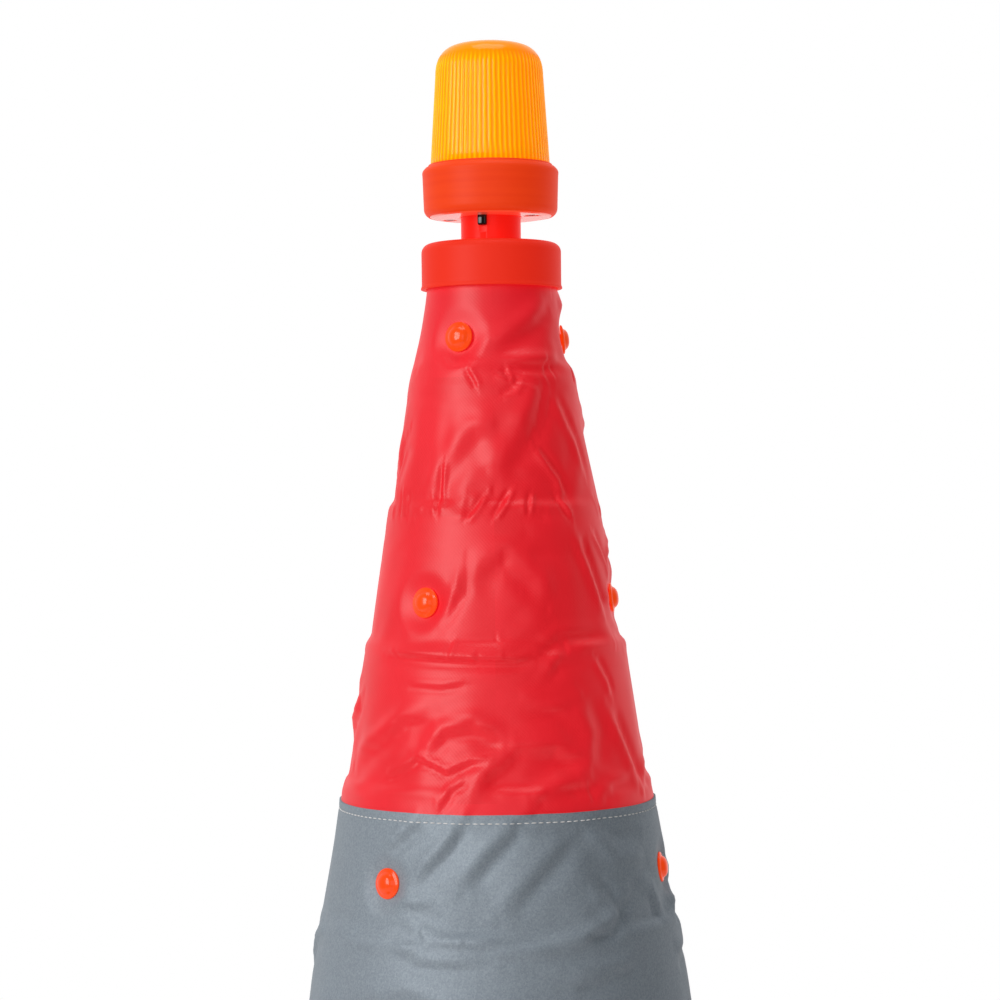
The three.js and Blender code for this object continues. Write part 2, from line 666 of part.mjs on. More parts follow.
function batteryTube() {
  const flangeBottom = HOUSING_BOTTOM_Z + HOUSING_BASE_THICKNESS + GAP;
  const flangeTop = flangeBottom + TUBE_FLANGE_THICKNESS;
  const inner = TUBE_RADIUS - TUBE_WALL;
  const outline = [
    [inner, TUBE_BOTTOM_Z],
    [TUBE_RADIUS, TUBE_BOTTOM_Z],
    [TUBE_RADIUS, flangeBottom],
    [TUBE_FLANGE_RADIUS, flangeBottom],
    [TUBE_FLANGE_RADIUS, flangeTop],
    [inner, flangeTop],
  ];
  const slotBottom = KNOB_TOP_Z - KNOB_HEIGHT - KNOB_TRAVEL - GAP;
  const slot = radialBox(SLOT_INNER_RADIUS, SLOT_OUTER_RADIUS, KNOB_WIDTH + 2 * GAP, slotBottom,
    KNOB_TOP_Z + GAP, SWITCH_ANGLE);
  piece("battery_tube", cut(turned(outline, LAMP_SEGMENTS), [slot]), NECK_RED);
}

function batteries() {
  const batteryTop = BATTERY_BOTTOM_Z + BATTERY_LENGTH;
  [-1, 1].forEach((side, index) => {
    const outline = [
      [0, 0],
      [BATTERY_RADIUS, 0],
      [BATTERY_RADIUS, BATTERY_LENGTH - TERMINAL_HEIGHT],
      [TERMINAL_RADIUS, BATTERY_LENGTH - TERMINAL_HEIGHT],
      [TERMINAL_RADIUS, BATTERY_LENGTH],
      [0, BATTERY_LENGTH],
    ];
    const battery = piece(`battery_${index + 1}`, turned(outline, BATTERY_SEGMENTS), BATTERY_BLUE);
    battery.position.set((side * BATTERY_SPACING) / 2, 0, BATTERY_BOTTOM_Z);
  });
  const length = BATTERY_SPACING + BATTERY_RADIUS;
  const contact = new THREE.BoxGeometry(length, CONTACT_WIDTH, CONTACT_THICKNESS);
  const lower = piece("battery_contact_lower", contact, BRASS);
  lower.position.z = BATTERY_BOTTOM_Z - GAP - CONTACT_THICKNESS / 2;
  const upper = piece("battery_contact_upper", contact, BRASS);
  upper.position.z = batteryTop + GAP + CONTACT_THICKNESS / 2;
}

function batteryDoor() {
  const plug = TUBE_RADIUS - TUBE_WALL - GAP;
  const discBottom = TUBE_BOTTOM_Z - GAP - DOOR_THICKNESS;
  const plugTop = BATTERY_BOTTOM_Z - 2 * GAP - CONTACT_THICKNESS;
  const outline = [
    [0, discBottom],
    [TUBE_RADIUS, discBottom],
    [TUBE_RADIUS, TUBE_BOTTOM_Z - GAP],
    [plug, TUBE_BOTTOM_Z - GAP],
    [plug, plugTop],
    [0, plugTop],
  ];
  piece("battery_door", turned(outline, LAMP_SEGMENTS), BLACK_PLASTIC);
}

function slideSwitch() {
  const low = KNOB_TOP_Z - KNOB_HEIGHT;
  const body = radialBox(SWITCH_INNER_RADIUS, SWITCH_OUTER_RADIUS, SWITCH_WIDTH,
    low - KNOB_TRAVEL - SWITCH_MARGIN, KNOB_TOP_Z + SWITCH_MARGIN, SWITCH_ANGLE);
  piece("switch_body", body, BLACK_PLASTIC);
  const knob = radialBox(SWITCH_OUTER_RADIUS + GAP, KNOB_OUTER_RADIUS, KNOB_WIDTH, low,
    KNOB_TOP_Z, SWITCH_ANGLE);
  piece("switch_knob", knob, BLACK_GLOSS);
}

coneRings();
rivets();
cover();
base();
cap();
lens();
housing();
housingBase();
chassis();
lights();
batteryTube();
batteries();
batteryDoor();
slideSwitch();

export default group;
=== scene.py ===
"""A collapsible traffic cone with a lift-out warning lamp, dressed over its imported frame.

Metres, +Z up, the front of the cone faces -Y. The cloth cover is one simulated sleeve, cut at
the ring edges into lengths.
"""

import json
import math

import bmesh
import bpy
import numpy as np
from mathutils import Matrix, Vector


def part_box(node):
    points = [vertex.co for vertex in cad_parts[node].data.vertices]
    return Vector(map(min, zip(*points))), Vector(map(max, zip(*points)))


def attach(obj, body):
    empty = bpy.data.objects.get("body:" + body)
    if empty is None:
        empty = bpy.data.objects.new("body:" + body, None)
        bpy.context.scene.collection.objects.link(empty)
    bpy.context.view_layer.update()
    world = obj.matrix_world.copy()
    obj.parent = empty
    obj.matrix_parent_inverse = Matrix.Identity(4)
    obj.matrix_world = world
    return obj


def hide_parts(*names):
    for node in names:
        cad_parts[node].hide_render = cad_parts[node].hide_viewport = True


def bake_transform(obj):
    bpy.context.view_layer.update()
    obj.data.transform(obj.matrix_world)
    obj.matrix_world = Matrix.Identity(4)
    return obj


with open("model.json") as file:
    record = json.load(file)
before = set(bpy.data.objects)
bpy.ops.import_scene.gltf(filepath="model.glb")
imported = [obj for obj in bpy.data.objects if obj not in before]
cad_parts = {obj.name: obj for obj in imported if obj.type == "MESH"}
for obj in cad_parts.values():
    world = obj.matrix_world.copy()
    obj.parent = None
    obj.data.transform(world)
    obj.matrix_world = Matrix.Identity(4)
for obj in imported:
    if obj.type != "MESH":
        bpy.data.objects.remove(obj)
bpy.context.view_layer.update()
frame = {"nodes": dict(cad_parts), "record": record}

MM = 0.001
FRONT = -90.0
RING_COUNT = 7
RIVETED_RINGS = (1, 3, 5, 7)
BODIES = ("section_1", "section_2", "section_3", "section_4", "section_5", "section_6", "base")

CLOTH_GAP = 1.0 * MM
BAND_TOP_Z = 225 * MM
COVER_BOTTOM_Z = 27 * MM
STITCH_PITCH = 3.5 * MM
STITCH_LENGTH = 2.5 * MM
STITCH_WIDTH = 0.55 * MM


def on_circle(radius, degrees, z):
    angle = math.radians(degrees)
    return Vector((radius * math.cos(angle), radius * math.sin(angle), z))


# ---------------------------------------------------------------- camera, light and floor

CAMERA_DISTANCE = 1.33
CAMERA_HEIGHT = 0.373
CAMERA_SIDE = 0.003
CAMERA_LENS = 95.8
CAMERA_ROLL = -0.65
LIGHT_TARGET = Vector((0, 0, 0.33))
FLOOR_RADIUS = 0.6


def make_camera():
    data = bpy.data.cameras.new("camera")
    data.lens = CAMERA_LENS
    data.sensor_width = 36
    camera = linked("camera", data)
    camera.location = (CAMERA_SIDE, -CAMERA_DISTANCE, CAMERA_HEIGHT)
    facing = Matrix.Rotation(math.radians(90), 4, "X")
    camera.rotation_euler = (facing @ Matrix.Rotation(math.radians(CAMERA_ROLL), 4, "Z")).to_euler()
    bpy.context.scene.camera = camera


def add_light(name, place, size, watts, tint):
    data = bpy.data.lights.new(name, "AREA")
    data.shape = "RECTANGLE"
    data.size, data.size_y = size
    data.energy = watts
    data.color = tint
    lamp = linked(name, data)
    lamp.location = place
    lamp.rotation_euler = (LIGHT_TARGET - lamp.location).to_track_quat("-Z", "Y").to_euler()


def make_lights():
    add_light("key_softbox", (-1.5, -1.5, 0.95), (1.1, 1.4), 32, (1, 0.995, 0.98))
    add_light("fill_panel", (0.2, -1.9, 0.6), (0.9, 1.3), 3.5, (0.98, 0.99, 1))
    add_light("top_panel", (0.0, -0.1, 1.6), (0.7, 0.7), 5, (1, 1, 1))


def make_world():
    bpy.context.scene.view_settings.view_transform = "Standard"
    world = bpy.data.worlds.new("studio")
    world.use_nodes = True
    tree = world.node_tree
    tree.nodes.clear()
    path = add(tree, "ShaderNodeLightPath")
    seen = add(tree, "ShaderNodeBackground", {"Color": (1, 1, 1, 1), "Strength": 1.0})
    aim = add(tree, "ShaderNodeTexCoord").outputs["Generated"]
    behind = add(tree, "ShaderNodeSeparateXYZ", {0: aim}).outputs["Y"]
    glow = add(tree, "ShaderNodeMapRange", {0: behind, 1: -0.1, 2: 0.75, 3: 0.12, 4: 0.85})
    around = add(tree, "ShaderNodeBackground", {"Color": (1, 1, 1, 1), "Strength": glow})
    both = add(tree, "ShaderNodeMixShader", {0: path.outputs["Is Camera Ray"], 1: around, 2: seen})
    add(tree, "ShaderNodeOutputWorld", {"Surface": both})
    bpy.context.scene.world = world


def make_floor():
    shape = bmesh.new()
    bmesh.ops.create_circle(shape, cap_ends=True, radius=FLOOR_RADIUS, segments=96)
    from_shape("studio_floor", shape, new_finish("floor_card", "#f4f4f2", 0.9)[0])


# ---------------------------------------------------------------- small tools

def linear(code):
    """The linear RGBA of an sRGB hex colour."""
    values = [int(code[i:i + 2], 16) / 255 for i in (1, 3, 5)]
    return tuple(v / 12.92 if v <= 0.04045 else ((v + 0.055) / 1.055) ** 2.4 for v in values) + (1,)


def add(tree, kind, inputs=None, **settings):
    """A node with its settings; an input takes a constant, a socket or a node's first output."""
    node = tree.nodes.new(kind)
    for key, value in settings.items():
        setattr(node, key, value)
    for key, value in (inputs or {}).items():
        if isinstance(value, bpy.types.Node):
            value = value.outputs[0]
        if isinstance(value, bpy.types.NodeSocket):
            tree.links.new(value, node.inputs[key])
        else:
            node.inputs[key].default_value = value
    return node


def new_finish(name, code, roughness, metallic=0.0, ior=1.5):
    """A material with one Principled shader: returns the material, its tree and the shader."""
    material = bpy.data.materials.new(name)
    material.use_nodes = True
    tree = material.node_tree
    tree.nodes.clear()
    shader = add(tree, "ShaderNodeBsdfPrincipled", {
        "Base Color": linear(code), "Roughness": roughness, "Metallic": metallic, "IOR": ior})
    add(tree, "ShaderNodeOutputMaterial", {"Surface": shader})
    return material, tree, shader


def two_tone(tree, shader, share, code, other):
    """The shader's colour runs between two hex colours by a share from 0 to 1."""
    tint = add(tree, "ShaderNodeMix", {0: share, 6: linear(code), 7: linear(other)},
               data_type="RGBA")
    tree.links.new(tint.outputs[2], shader.inputs["Base Color"])


def relief(tree, shader, height, strength, depth=0.2 * MM):
    """Fine relief on the surface, of a height's pattern."""
    bump = add(tree, "ShaderNodeBump", {"Height": height, "Strength": strength, "Distance": depth})
    tree.links.new(bump.outputs[0], shader.inputs["Normal"])


def linked(name, data):
    """A new object in the scene, of a mesh, a camera or a light."""
    piece = bpy.data.objects.new(name, data)
    bpy.context.scene.collection.objects.link(piece)
    return piece


def new_piece(name, verts, faces, material):
    mesh = bpy.data.meshes.new(name)
    mesh.from_pydata([tuple(v) for v in verts], [], faces)
    mesh.update()
    mesh.shade_smooth()
    mesh.materials.append(material)
    return linked(name, mesh)


def from_shape(name, shape, material):
    """A piece of a finished bmesh."""
    mesh = bpy.data.meshes.new(name)
    shape.to_mesh(mesh)
    shape.free()
    mesh.materials.append(material)
    return linked(name, mesh)


def baked(piece):
    """The piece as a plain mesh, with its modifiers applied and removed."""
    graph = bpy.context.evaluated_depsgraph_get()
    graph.update()
    mesh = bpy.data.meshes.new_from_object(piece.evaluated_get(graph))
    piece.modifiers.clear()
    piece.data = mesh
    return piece


def revolve(outline, steps):
    """Vertices and faces of an outline of (radius, z), listed anticlockwise, turned about Z.

    An outline that starts on the axis also ends on it; any other closes on itself.
    """
    solid = outline[0][0] == 0
    rim = outline[1:-1] if solid else outline
    count = len(rim)
    verts = []
    for i in range(steps):
        turn = 2 * math.pi * i / steps
        verts += [(r * math.cos(turn), r * math.sin(turn), z) for r, z in rim]
    faces = []
    for i in range(steps):
        a, b = i * count, (i + 1) % steps * count
        for j in range(count - 1 if solid else count):
            k = (j + 1) % count
            faces.append((a + j, b + j, b + k, a + k))
    if solid:
        low, high = len(verts), len(verts) + 1
        verts += [(0, 0, outline[0][1]), (0, 0, outline[-1][1])]
        for i in range(steps):
            a, b = i * count, (i + 1) % steps * count
            faces.append((low, b, a))
            faces.append((high, a + count - 1, b + count - 1))
    return verts, faces


def turned(name, outline, material, steps, spot=(0, 0)):
    """A piece of an outline in millimetres, turned about an upright axis through a spot."""
    verts, faces = revolve([(r * MM, z * MM) for r, z in outline], steps)
    verts = [(x + spot[0], y + spot[1], z) for x, y, z in verts]
    return new_piece(name, verts, faces, material)


def softened(outline, size, steps=3):
    """The closed outline with every corner rounded by about size."""
    result = []
    count = len(outline)
    for i in range(count):
        before, here, after = (Vector(outline[(i + d) % count]) for d in (-1, 0, 1))
        reach = min(size, (before - here).length / 3, (after - here).length / 3)
        first = here + (before - here).normalized() * reach
        last = here + (after - here).normalized() * reach
        for k in range(steps + 1):
            t = k / steps
            point = first * (1 - t) ** 2 + here * (2 * t * (1 - t)) + last * t ** 2
            result.append((point.x, point.y))
    return result


def tube_faces(rows, columns):
    """Quads between closed rows of points that follow one another."""
    faces = []
    for j in range(rows - 1):
        a, b = j * columns, (j + 1) * columns
        for i in range(columns):
            k = (i + 1) % columns
            faces.append((a + i, a + k, b + k, b + i))
    return faces


def settle(piece, body, slot, *nodes):
    """The piece rides on a body and stands for CAD nodes, which it hides; its slot is not used."""
    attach(piece, body)
    if nodes:
        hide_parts(*nodes)
    return piece


# ---------------------------------------------------------------- finishes

# Real sizes of the patterns. The weave is drawn coarser than its real 0.4 mm, so that it shows.
SATIN_GRAIN = MM / 1.4
THREAD_PITCH = 0.9 * MM
BEAD = MM / 1.5
FLOW_MARKS = (9, 9, 260)
EVEN_CLOUDS = (60, 60, 60)
# Strengths of painted glow: emission that stands in for light on the plastics, the cloth and the lens.
PAINTED_GLOW_STRENGTH = 0.62
CLOTH_PAINTED_GLOW = 0.42
LENS_PAINTED_GLOW = 0.38


def moulded_plastic(name, code, dark, roughness, streak=0.0, coat=0.0, glow=None):
    """Injection-moulded PP or ABS: even colour, faint flow marks, fine satin grain; any glow colour is
    a painted glow.
    """
    material, tree, shader = new_finish(name, code, roughness=roughness, ior=1.49)
    place = add(tree, "ShaderNodeTexCoord")
    stretch = add(tree, "ShaderNodeMapping", {0: place.outputs["Object"]})
    stretch.inputs["Scale"].default_value = FLOW_MARKS if streak else EVEN_CLOUDS
    flow = add(tree, "ShaderNodeTexNoise", {"Vector": stretch, "Scale": 1.0, "Detail": 3.0})
    share = add(tree, "ShaderNodeMapRange", {0: flow.outputs["Fac"], 1: 0.38, 2: 0.68, 3: 0.0,
                                             4: max(streak, 0.25)})
    two_tone(tree, shader, share, code, dark)
    grain = add(tree, "ShaderNodeTexNoise", {"Vector": place.outputs["Object"],
                                             "Scale": 1 / SATIN_GRAIN, "Detail": 2.0})
    relief(tree, shader, grain.outputs["Fac"], 0.06)
    shader.inputs["Specular IOR Level"].default_value = 0.16
    shader.inputs["Coat Weight"].default_value = coat
    shader.inputs["Coat Roughness"].default_value = 0.08
    # Painted glow: a constant emission that lightens the part in its shade; the part is no lamp.
    if glow:
        shader.inputs["Emission Color"].default_value = linear(glow)
        shader.inputs["Emission Strength"].default_value = PAINTED_GLOW_STRENGTH
    return material


def weave(tree, place, pitch):
    """Height of a plain weave on the piece's UV map, whose unit is a metre."""
    scale = add(tree, "ShaderNodeVectorMath", {0: place, 1: (math.pi / pitch,) * 3},
                operation="MULTIPLY")
    parts = add(tree, "ShaderNodeSeparateXYZ", {0: scale})
    warp = add(tree, "ShaderNodeMath", {0: parts.outputs["X"]}, operation="SINE")
    weft = add(tree, "ShaderNodeMath", {0: parts.outputs["Y"]}, operation="SINE")
    return add(tree, "ShaderNodeMath", {0: warp, 1: weft}, operation="MULTIPLY")


def coated_nylon(name):
    """PU-coated nylon in red: a fine plain weave under a thin coat, satiny on its
    folds, with a painted red glow that lightens it in its shade."""
    material, tree, shader = new_finish(name, "#c81724", roughness=0.45, ior=1.5)
    uv = add(tree, "ShaderNodeTexCoord").outputs["UV"]
    cloud = add(tree, "ShaderNodeTexNoise", {"Vector": uv, "Scale": 26.0, "Detail": 4.0})
    share = add(tree, "ShaderNodeMapRange", {0: cloud.outputs["Fac"], 1: 0.35, 2: 0.7})
    two_tone(tree, shader, share, "#c61a28", "#b81420")
    # Painted glow: a red emission that lightens the cloth in its shade.
    shader.inputs["Emission Color"].default_value = linear("#f4101c")
    shader.inputs["Emission Strength"].default_value = CLOTH_PAINTED_GLOW
    relief(tree, shader, weave(tree, uv, THREAD_PITCH), 0.12)
    return material


def bead_cloth(name):
    """Glass-bead reflective cloth: grey, each bead a bright or dull grain, the bright ones painted
    glints, duller off the light.
    """
    material, tree, shader = new_finish(name, "#8b959f", roughness=0.58, metallic=0.25)
    uv = add(tree, "ShaderNodeTexCoord").outputs["UV"]
    # Each bead takes a random tone; the bright beads are painted glints of the glass beads' sparkle.
    beads = add(tree, "ShaderNodeTexVoronoi", {"Vector": uv, "Scale": 1 / BEAD})
    bead_tone_and_glint = add(tree, "ShaderNodeMapRange", {0: beads.outputs["Color"], 1: 0.0, 2: 1.0})
    cloud = add(tree, "ShaderNodeTexNoise", {"Vector": uv, "Scale": 18.0, "Detail": 5.0})
    base = add(tree, "ShaderNodeMix", {0: cloud.outputs["Fac"], 6: linear("#87919b"),
                                       7: linear("#939ea8")}, data_type="RGBA")
    grain = add(tree, "ShaderNodeMix", {0: bead_tone_and_glint, 6: linear("#76808b"), 7: linear("#a3adb6")},
                data_type="RGBA")
    both = add(tree, "ShaderNodeMix", {0: 0.5, 6: base.outputs[2], 7: grain.outputs[2]},
               data_type="RGBA")
    tree.links.new(both.outputs[2], shader.inputs["Base Color"])
    relief(tree, shader, beads.outputs["Distance"], 0.15)
    return material


LENS_RIBS = 72
RIB_TOP_Z = 594 * MM


def amber_polycarbonate(name):
    """Clear amber polycarbonate, moulded with fine flutes inside: each flute's line of gathered
    light is painted in yellow, the plain crown above them stays a deeper orange, and a painted
    amber glow stands in for light through the lens."""
    material, tree, shader = new_finish(name, "#f09a00", roughness=0.18, ior=1.5)
    place = add(tree, "ShaderNodeTexCoord").outputs["Object"]
    parts = add(tree, "ShaderNodeSeparateXYZ", {0: place})
    angle = add(tree, "ShaderNodeMath", {0: parts.outputs["Y"], 1: parts.outputs["X"]},
                operation="ARCTAN2")
    uneven = add(tree, "ShaderNodeTexNoise", {"Vector": place, "Scale": 110.0, "Detail": 2.0})
    shift = add(tree, "ShaderNodeMath", {0: uneven.outputs["Fac"], 1: 2.4}, operation="MULTIPLY")
    phase = add(tree, "ShaderNodeMath", {0: angle, 1: float(LENS_RIBS), 2: shift},
                operation="MULTIPLY_ADD")
    wave = add(tree, "ShaderNodeMath", {0: phase}, operation="SINE")
    # Painted highlights: a yellow stripe for each flute's gathered light, none on the crown.
    line = add(tree, "ShaderNodeMapRange", {0: wave, 1: -0.5, 2: 1.0})
    crown = add(tree, "ShaderNodeMapRange", {0: parts.outputs["Z"], 1: RIB_TOP_Z,
                                             2: RIB_TOP_Z - 0.004})
    painted_flute_light = add(tree, "ShaderNodeMath", {0: line, 1: crown}, operation="MULTIPLY")
    two_tone(tree, shader, painted_flute_light, "#f09400", "#ffbc00")
    # Painted glow: amber emission standing in for light through the lens.
    glow = add(tree, "ShaderNodeMix", {0: painted_flute_light, 6: linear("#f29000"), 7: linear("#ffc400")},
               data_type="RGBA")
    tree.links.new(glow.outputs[2], shader.inputs["Emission Color"])
    shader.inputs["Transmission Weight"].default_value = 0.3
    shader.inputs["Specular IOR Level"].default_value = 0.07
    shader.inputs["Emission Strength"].default_value = LENS_PAINTED_GLOW
    return material


def black_rubber(name, code="#1b1c1e"):
    """Weighted recycled rubber: near black, dusty in its grain."""
    material, tree, shader = new_finish(name, code, roughness=0.75, ior=1.52)
    place = add(tree, "ShaderNodeTexCoord").outputs["Object"]
    dust = add(tree, "ShaderNodeTexNoise", {"Vector": place, "Scale": 90.0, "Detail": 6.0})
    share = add(tree, "ShaderNodeMapRange", {0: dust.outputs["Fac"], 1: 0.45, 2: 0.75})
    two_tone(tree, shader, share, code, "#2c2d2f")
    pits = add(tree, "ShaderNodeTexVoronoi", {"Vector": place, "Scale": 700.0})
    relief(tree, shader, pits.outputs["Distance"], 0.25, 0.4 * MM)
    return material


def drawn_metal(name, code, roughness):
    """Plated steel or brass strip: bright, with fine drawing marks."""
    material, tree, shader = new_finish(name, code, roughness=roughness, metallic=1.0)
    place = add(tree, "ShaderNodeTexCoord").outputs["Object"]
    marks = add(tree, "ShaderNodeTexNoise", {"Vector": place, "Scale": 900.0, "Detail": 2.0})
    level = add(tree, "ShaderNodeMapRange", {0: marks.outputs["Fac"], 3: roughness - 0.08,
                                             4: roughness + 0.12})
    tree.links.new(level.outputs[0], shader.inputs["Roughness"])
    return material


def plain_finish(name, code, fleck, roughness, scale=300.0):
    """Small inner parts: one colour with a slight fleck."""
    material, tree, shader = new_finish(name, code, roughness=roughness)
    place = add(tree, "ShaderNodeTexCoord").outputs["Object"]
    flecks = add(tree, "ShaderNodeTexNoise", {"Vector": place, "Scale": scale, "Detail": 3.0})
    two_tone(tree, shader, flecks.outputs["Fac"], code, fleck)
    return material


# The glow colours below are painted light on the cap, rivets, housing and neck.
FINISH = {
    "cap_plastic": moulded_plastic("orange_pp_cap", "#aa2a16", "#a22410", 0.5, glow="#f02414"),
    "ring_plastic": moulded_plastic("grey_pp_ring", "#3a3d40", "#33363a", 0.55),
    "rivet_plastic": moulded_plastic("orange_nylon_rivet", "#c83c0c", "#c03408", 0.3, coat=0.5,
                                     glow="#f4440a"),
    "red_fabric": coated_nylon("coated_red_nylon"),
    "reflective_fabric": bead_cloth("glass_bead_cloth"),
    "base_rubber": black_rubber("recycled_black_rubber"),
    "foot_rubber": black_rubber("black_foot_rubber", "#151517"),
    "steel": drawn_metal("plated_steel", "#b8bcc0", 0.35),
    "amber_lens": amber_polycarbonate("amber_polycarbonate"),
    "housing_plastic": moulded_plastic("orange_abs_housing", "#ae3a14", "#a22c10", 0.48, streak=0.6,
                                       glow="#f2360c"),
    "neck_plastic": moulded_plastic("red_abs_neck", "#bc1c12", "#b6140e", 0.36, glow="#f01a10"),
    "switch_plastic": moulded_plastic("black_gloss_abs", "#0b0b0c", "#101012", 0.12, coat=0.6),
    "black_plastic": moulded_plastic("black_satin_abs", "#1c1d1f", "#232427", 0.5),
    "board": plain_finish("green_solder_mask", "#1f6b3a", "#2a7d47", 0.4),
    "led": plain_finish("clear_amber_epoxy", "#ffd27a", "#ffdf98", 0.12),
    "mirror": drawn_metal("bright_vacuum_plate", "#dcdee0", 0.14),
    "battery": plain_finish("blue_cell_sleeve", "#2b4f8c", "#35589a", 0.35, 120.0),
    "brass": drawn_metal("brass_strip", "#b99342", 0.38),
}
THREAD = plain_finish("white_polyester_thread", "#f2f0ee", "#dcdad8", 0.6, 2500.0)


def dress_cad_nodes():
    """Every CAD node that stays in view gets its slot's finish."""
    for row in frame["record"]["subparts"]:
        node = frame["nodes"][row["node"]]
        node.data.materials.clear()
        node.data.materials.append(FINISH[row["material_slot"]])


# ---------------------------------------------------------------- what the frame says

def mesh_points(piece):
    points = np.empty(len(piece.data.vertices) * 3)
    piece.data.vertices.foreach_get("co", points)
    return points.reshape(-1, 3)


EDGE_BAND = 0.2 * MM


def ring_node(ring):
    return "base_collar" if ring == RING_COUNT else f"cone_ring_{ring}"


def ring_edge(ring):
    """(z, outer radius) of a ring's top edge."""
    points = mesh_points(frame["nodes"][ring_node(ring)])
    top = points[:, 2].max()
    rim = points[points[:, 2] > top - EDGE_BAND]
    return top, np.hypot(rim[:, 0], rim[:, 1]).max()


EDGES = {ring: ring_edge(ring) for ring in range(1, RING_COUNT + 1)}
RING_STEP = 4.5 * MM
RING_SLOPE = (EDGES[7][1] - EDGES[6][1] - RING_STEP) / (EDGES[6][0] - EDGES[7][0])


def wall_radius(ring, z):
    top, radius = EDGES[ring]
    return radius + RING_SLOPE * (top - z)


def rivet_centres(row):
    """The three rivets of a row: centre of the head's foot and the outward direction."""
    ring = RIVETED_RINGS[row]
    places = []
    for number in (1, 2, 3):
        low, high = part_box(f"rivet_row{row + 1}_{number}")
        middle = (low + high) / 2
        degrees = math.degrees(math.atan2(middle.y, middle.x))
        outward = on_circle(1, degrees, RING_SLOPE).normalized()
        z = middle.z
        places.append((on_circle(wall_radius(ring, z), degrees, z) + outward * CLOTH_GAP, outward))
    return places


# ---------------------------------------------------------------- instancing by nodes

def scatter_tree():
    """Puts one shape on every point of a mesh, its Z along 'facing' and its X along 'run'."""
    tree = bpy.data.node_groups.new("set_on_points", "GeometryNodeTree")
    face = tree.interface
    for name, kind in (("Geometry", "Geometry"), ("Shape", "Object"), ("Size", "Float"),
                       ("Finish", "Material")):
        face.new_socket(name, in_out="INPUT", socket_type=f"NodeSocket{kind}")
    face.new_socket("Geometry", in_out="OUTPUT", socket_type="NodeSocketGeometry")
    entry = add(tree, "NodeGroupInput")
    shape = add(tree, "GeometryNodeObjectInfo", {"Object": entry.outputs["Shape"]})
    facing, run = (add(tree, "GeometryNodeInputNamedAttribute", {"Name": key},
                       data_type="FLOAT_VECTOR") for key in ("facing", "run"))
    up = add(tree, "FunctionNodeAlignRotationToVector", {"Vector": facing}, axis="Z")
    turn = add(tree, "FunctionNodeAlignRotationToVector", {"Rotation": up, "Vector": run},
               axis="X", pivot_axis="Z")
    points = add(tree, "GeometryNodeMeshToPoints", {"Mesh": entry.outputs["Geometry"]})
    copies = add(tree, "GeometryNodeInstanceOnPoints", {
        "Points": points, "Instance": shape.outputs["Geometry"], "Rotation": turn,
        "Scale": entry.outputs["Size"]})
    real = add(tree, "GeometryNodeRealizeInstances", {"Geometry": copies})
    dressed = add(tree, "GeometryNodeSetMaterial", {"Geometry": real,
                                                    "Material": entry.outputs["Finish"]})
    add(tree, "NodeGroupOutput", {"Geometry": dressed})
    return tree


SCATTER = scatter_tree()


def scattered(name, places, shape, material, size=1.0):
    """A plain mesh of one shape set at each of places: (point, facing, run)."""
    mesh = bpy.data.meshes.new(name)
    mesh.from_pydata([tuple(p) for p, _, _ in places], [], [])
    for index, key in ((1, "facing"), (2, "run")):
        attribute = mesh.attributes.new(key, "FLOAT_VECTOR", "POINT")
        attribute.data.foreach_set("vector", [c for place in places for c in place[index]])
    piece = linked(name, mesh)
    modifier = piece.modifiers.new("set", "NODES")
    modifier.node_group = SCATTER
    sockets = {item.name: item.identifier for item in SCATTER.interface.items_tree
               if item.in_out == "INPUT"}
    modifier[sockets["Shape"]] = shape
    modifier[sockets["Size"]] = size
    modifier[sockets["Finish"]] = material
    baked(piece)
    piece.data.shade_smooth()
    return piece


def discard(piece):
    bpy.data.objects.remove(piece, do_unlink=True)


# ---------------------------------------------------------------- the lamp

LENS_STEPS = 432
RIB_DEPTH = 0.4 * MM
LENS_WALL = 2.0 * MM


def lens_outline(foot, shoulder, top, radius, waist):
    """Outside of the lens from its foot to its crown: a taper, then a flattened dome."""
    points = [(radius, foot)]
    for i in range(1, 9):
        t = i / 8
        points.append((radius + (waist - radius) * t, foot + (shoulder - foot) * t))
    for i in range(1, 25):
        turn = math.radians(89.0 * i / 24)
        reach, lift = math.cos(turn) ** 0.45, math.sin(turn) ** 0.92
        points.append((waist * reach, shoulder + (top - shoulder) * lift))
    return points


def make_lens():
    low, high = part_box("lens")
    foot = low.z + 4.2 * MM
    outside = lens_outline(foot, high.z - 16 * MM, high.z, 29.9 * MM, 27.0 * MM)
    inside = [(max(r - LENS_WALL, 0.6 * MM), min(z, high.z - LENS_WALL)) for r, z in outside]
    ring = LENS_STEPS
    verts = []
    rows = outside[::-1] + inside
    rib_low, rib_high = foot + 1.0 * MM, high.z - 7.0 * MM
    for index, (radius, z) in enumerate(rows):
        ribbed = index < len(outside) and rib_low < z < rib_high
        for i in range(ring):
            turn = 2 * math.pi * i / ring
            wave = 1 - abs(2 * ((i * LENS_RIBS / ring) % 1) - 1)
            r = radius - (RIB_DEPTH * wave if ribbed else 0)
            verts.append((r * math.cos(turn), r * math.sin(turn), z))
    faces = [face[::-1] for face in tube_faces(len(rows), ring)]
    last = (len(rows) - 1) * ring
    crown_out, crown_in = len(verts), len(verts) + 1
    verts += [(0, 0, high.z), (0, 0, high.z - LENS_WALL)]
    faces += [(crown_out, i, (i + 1) % ring) for i in range(ring)]
    faces += [(crown_in, last + (i + 1) % ring, last + i) for i in range(ring)]
    piece = new_piece("amber_lens", verts, faces, FINISH["amber_lens"])
    settle(piece, "lamp", "amber_lens", "lens")


def arc(radius, z, size, start, end, steps):
    """Points of a round corner about (radius, z), between two angles in degrees."""
    turns = [math.radians(start + (end - start) * i / steps) for i in range(steps + 1)]
    return [(radius + size * math.cos(t), z + size * math.sin(t)) for t in turns]


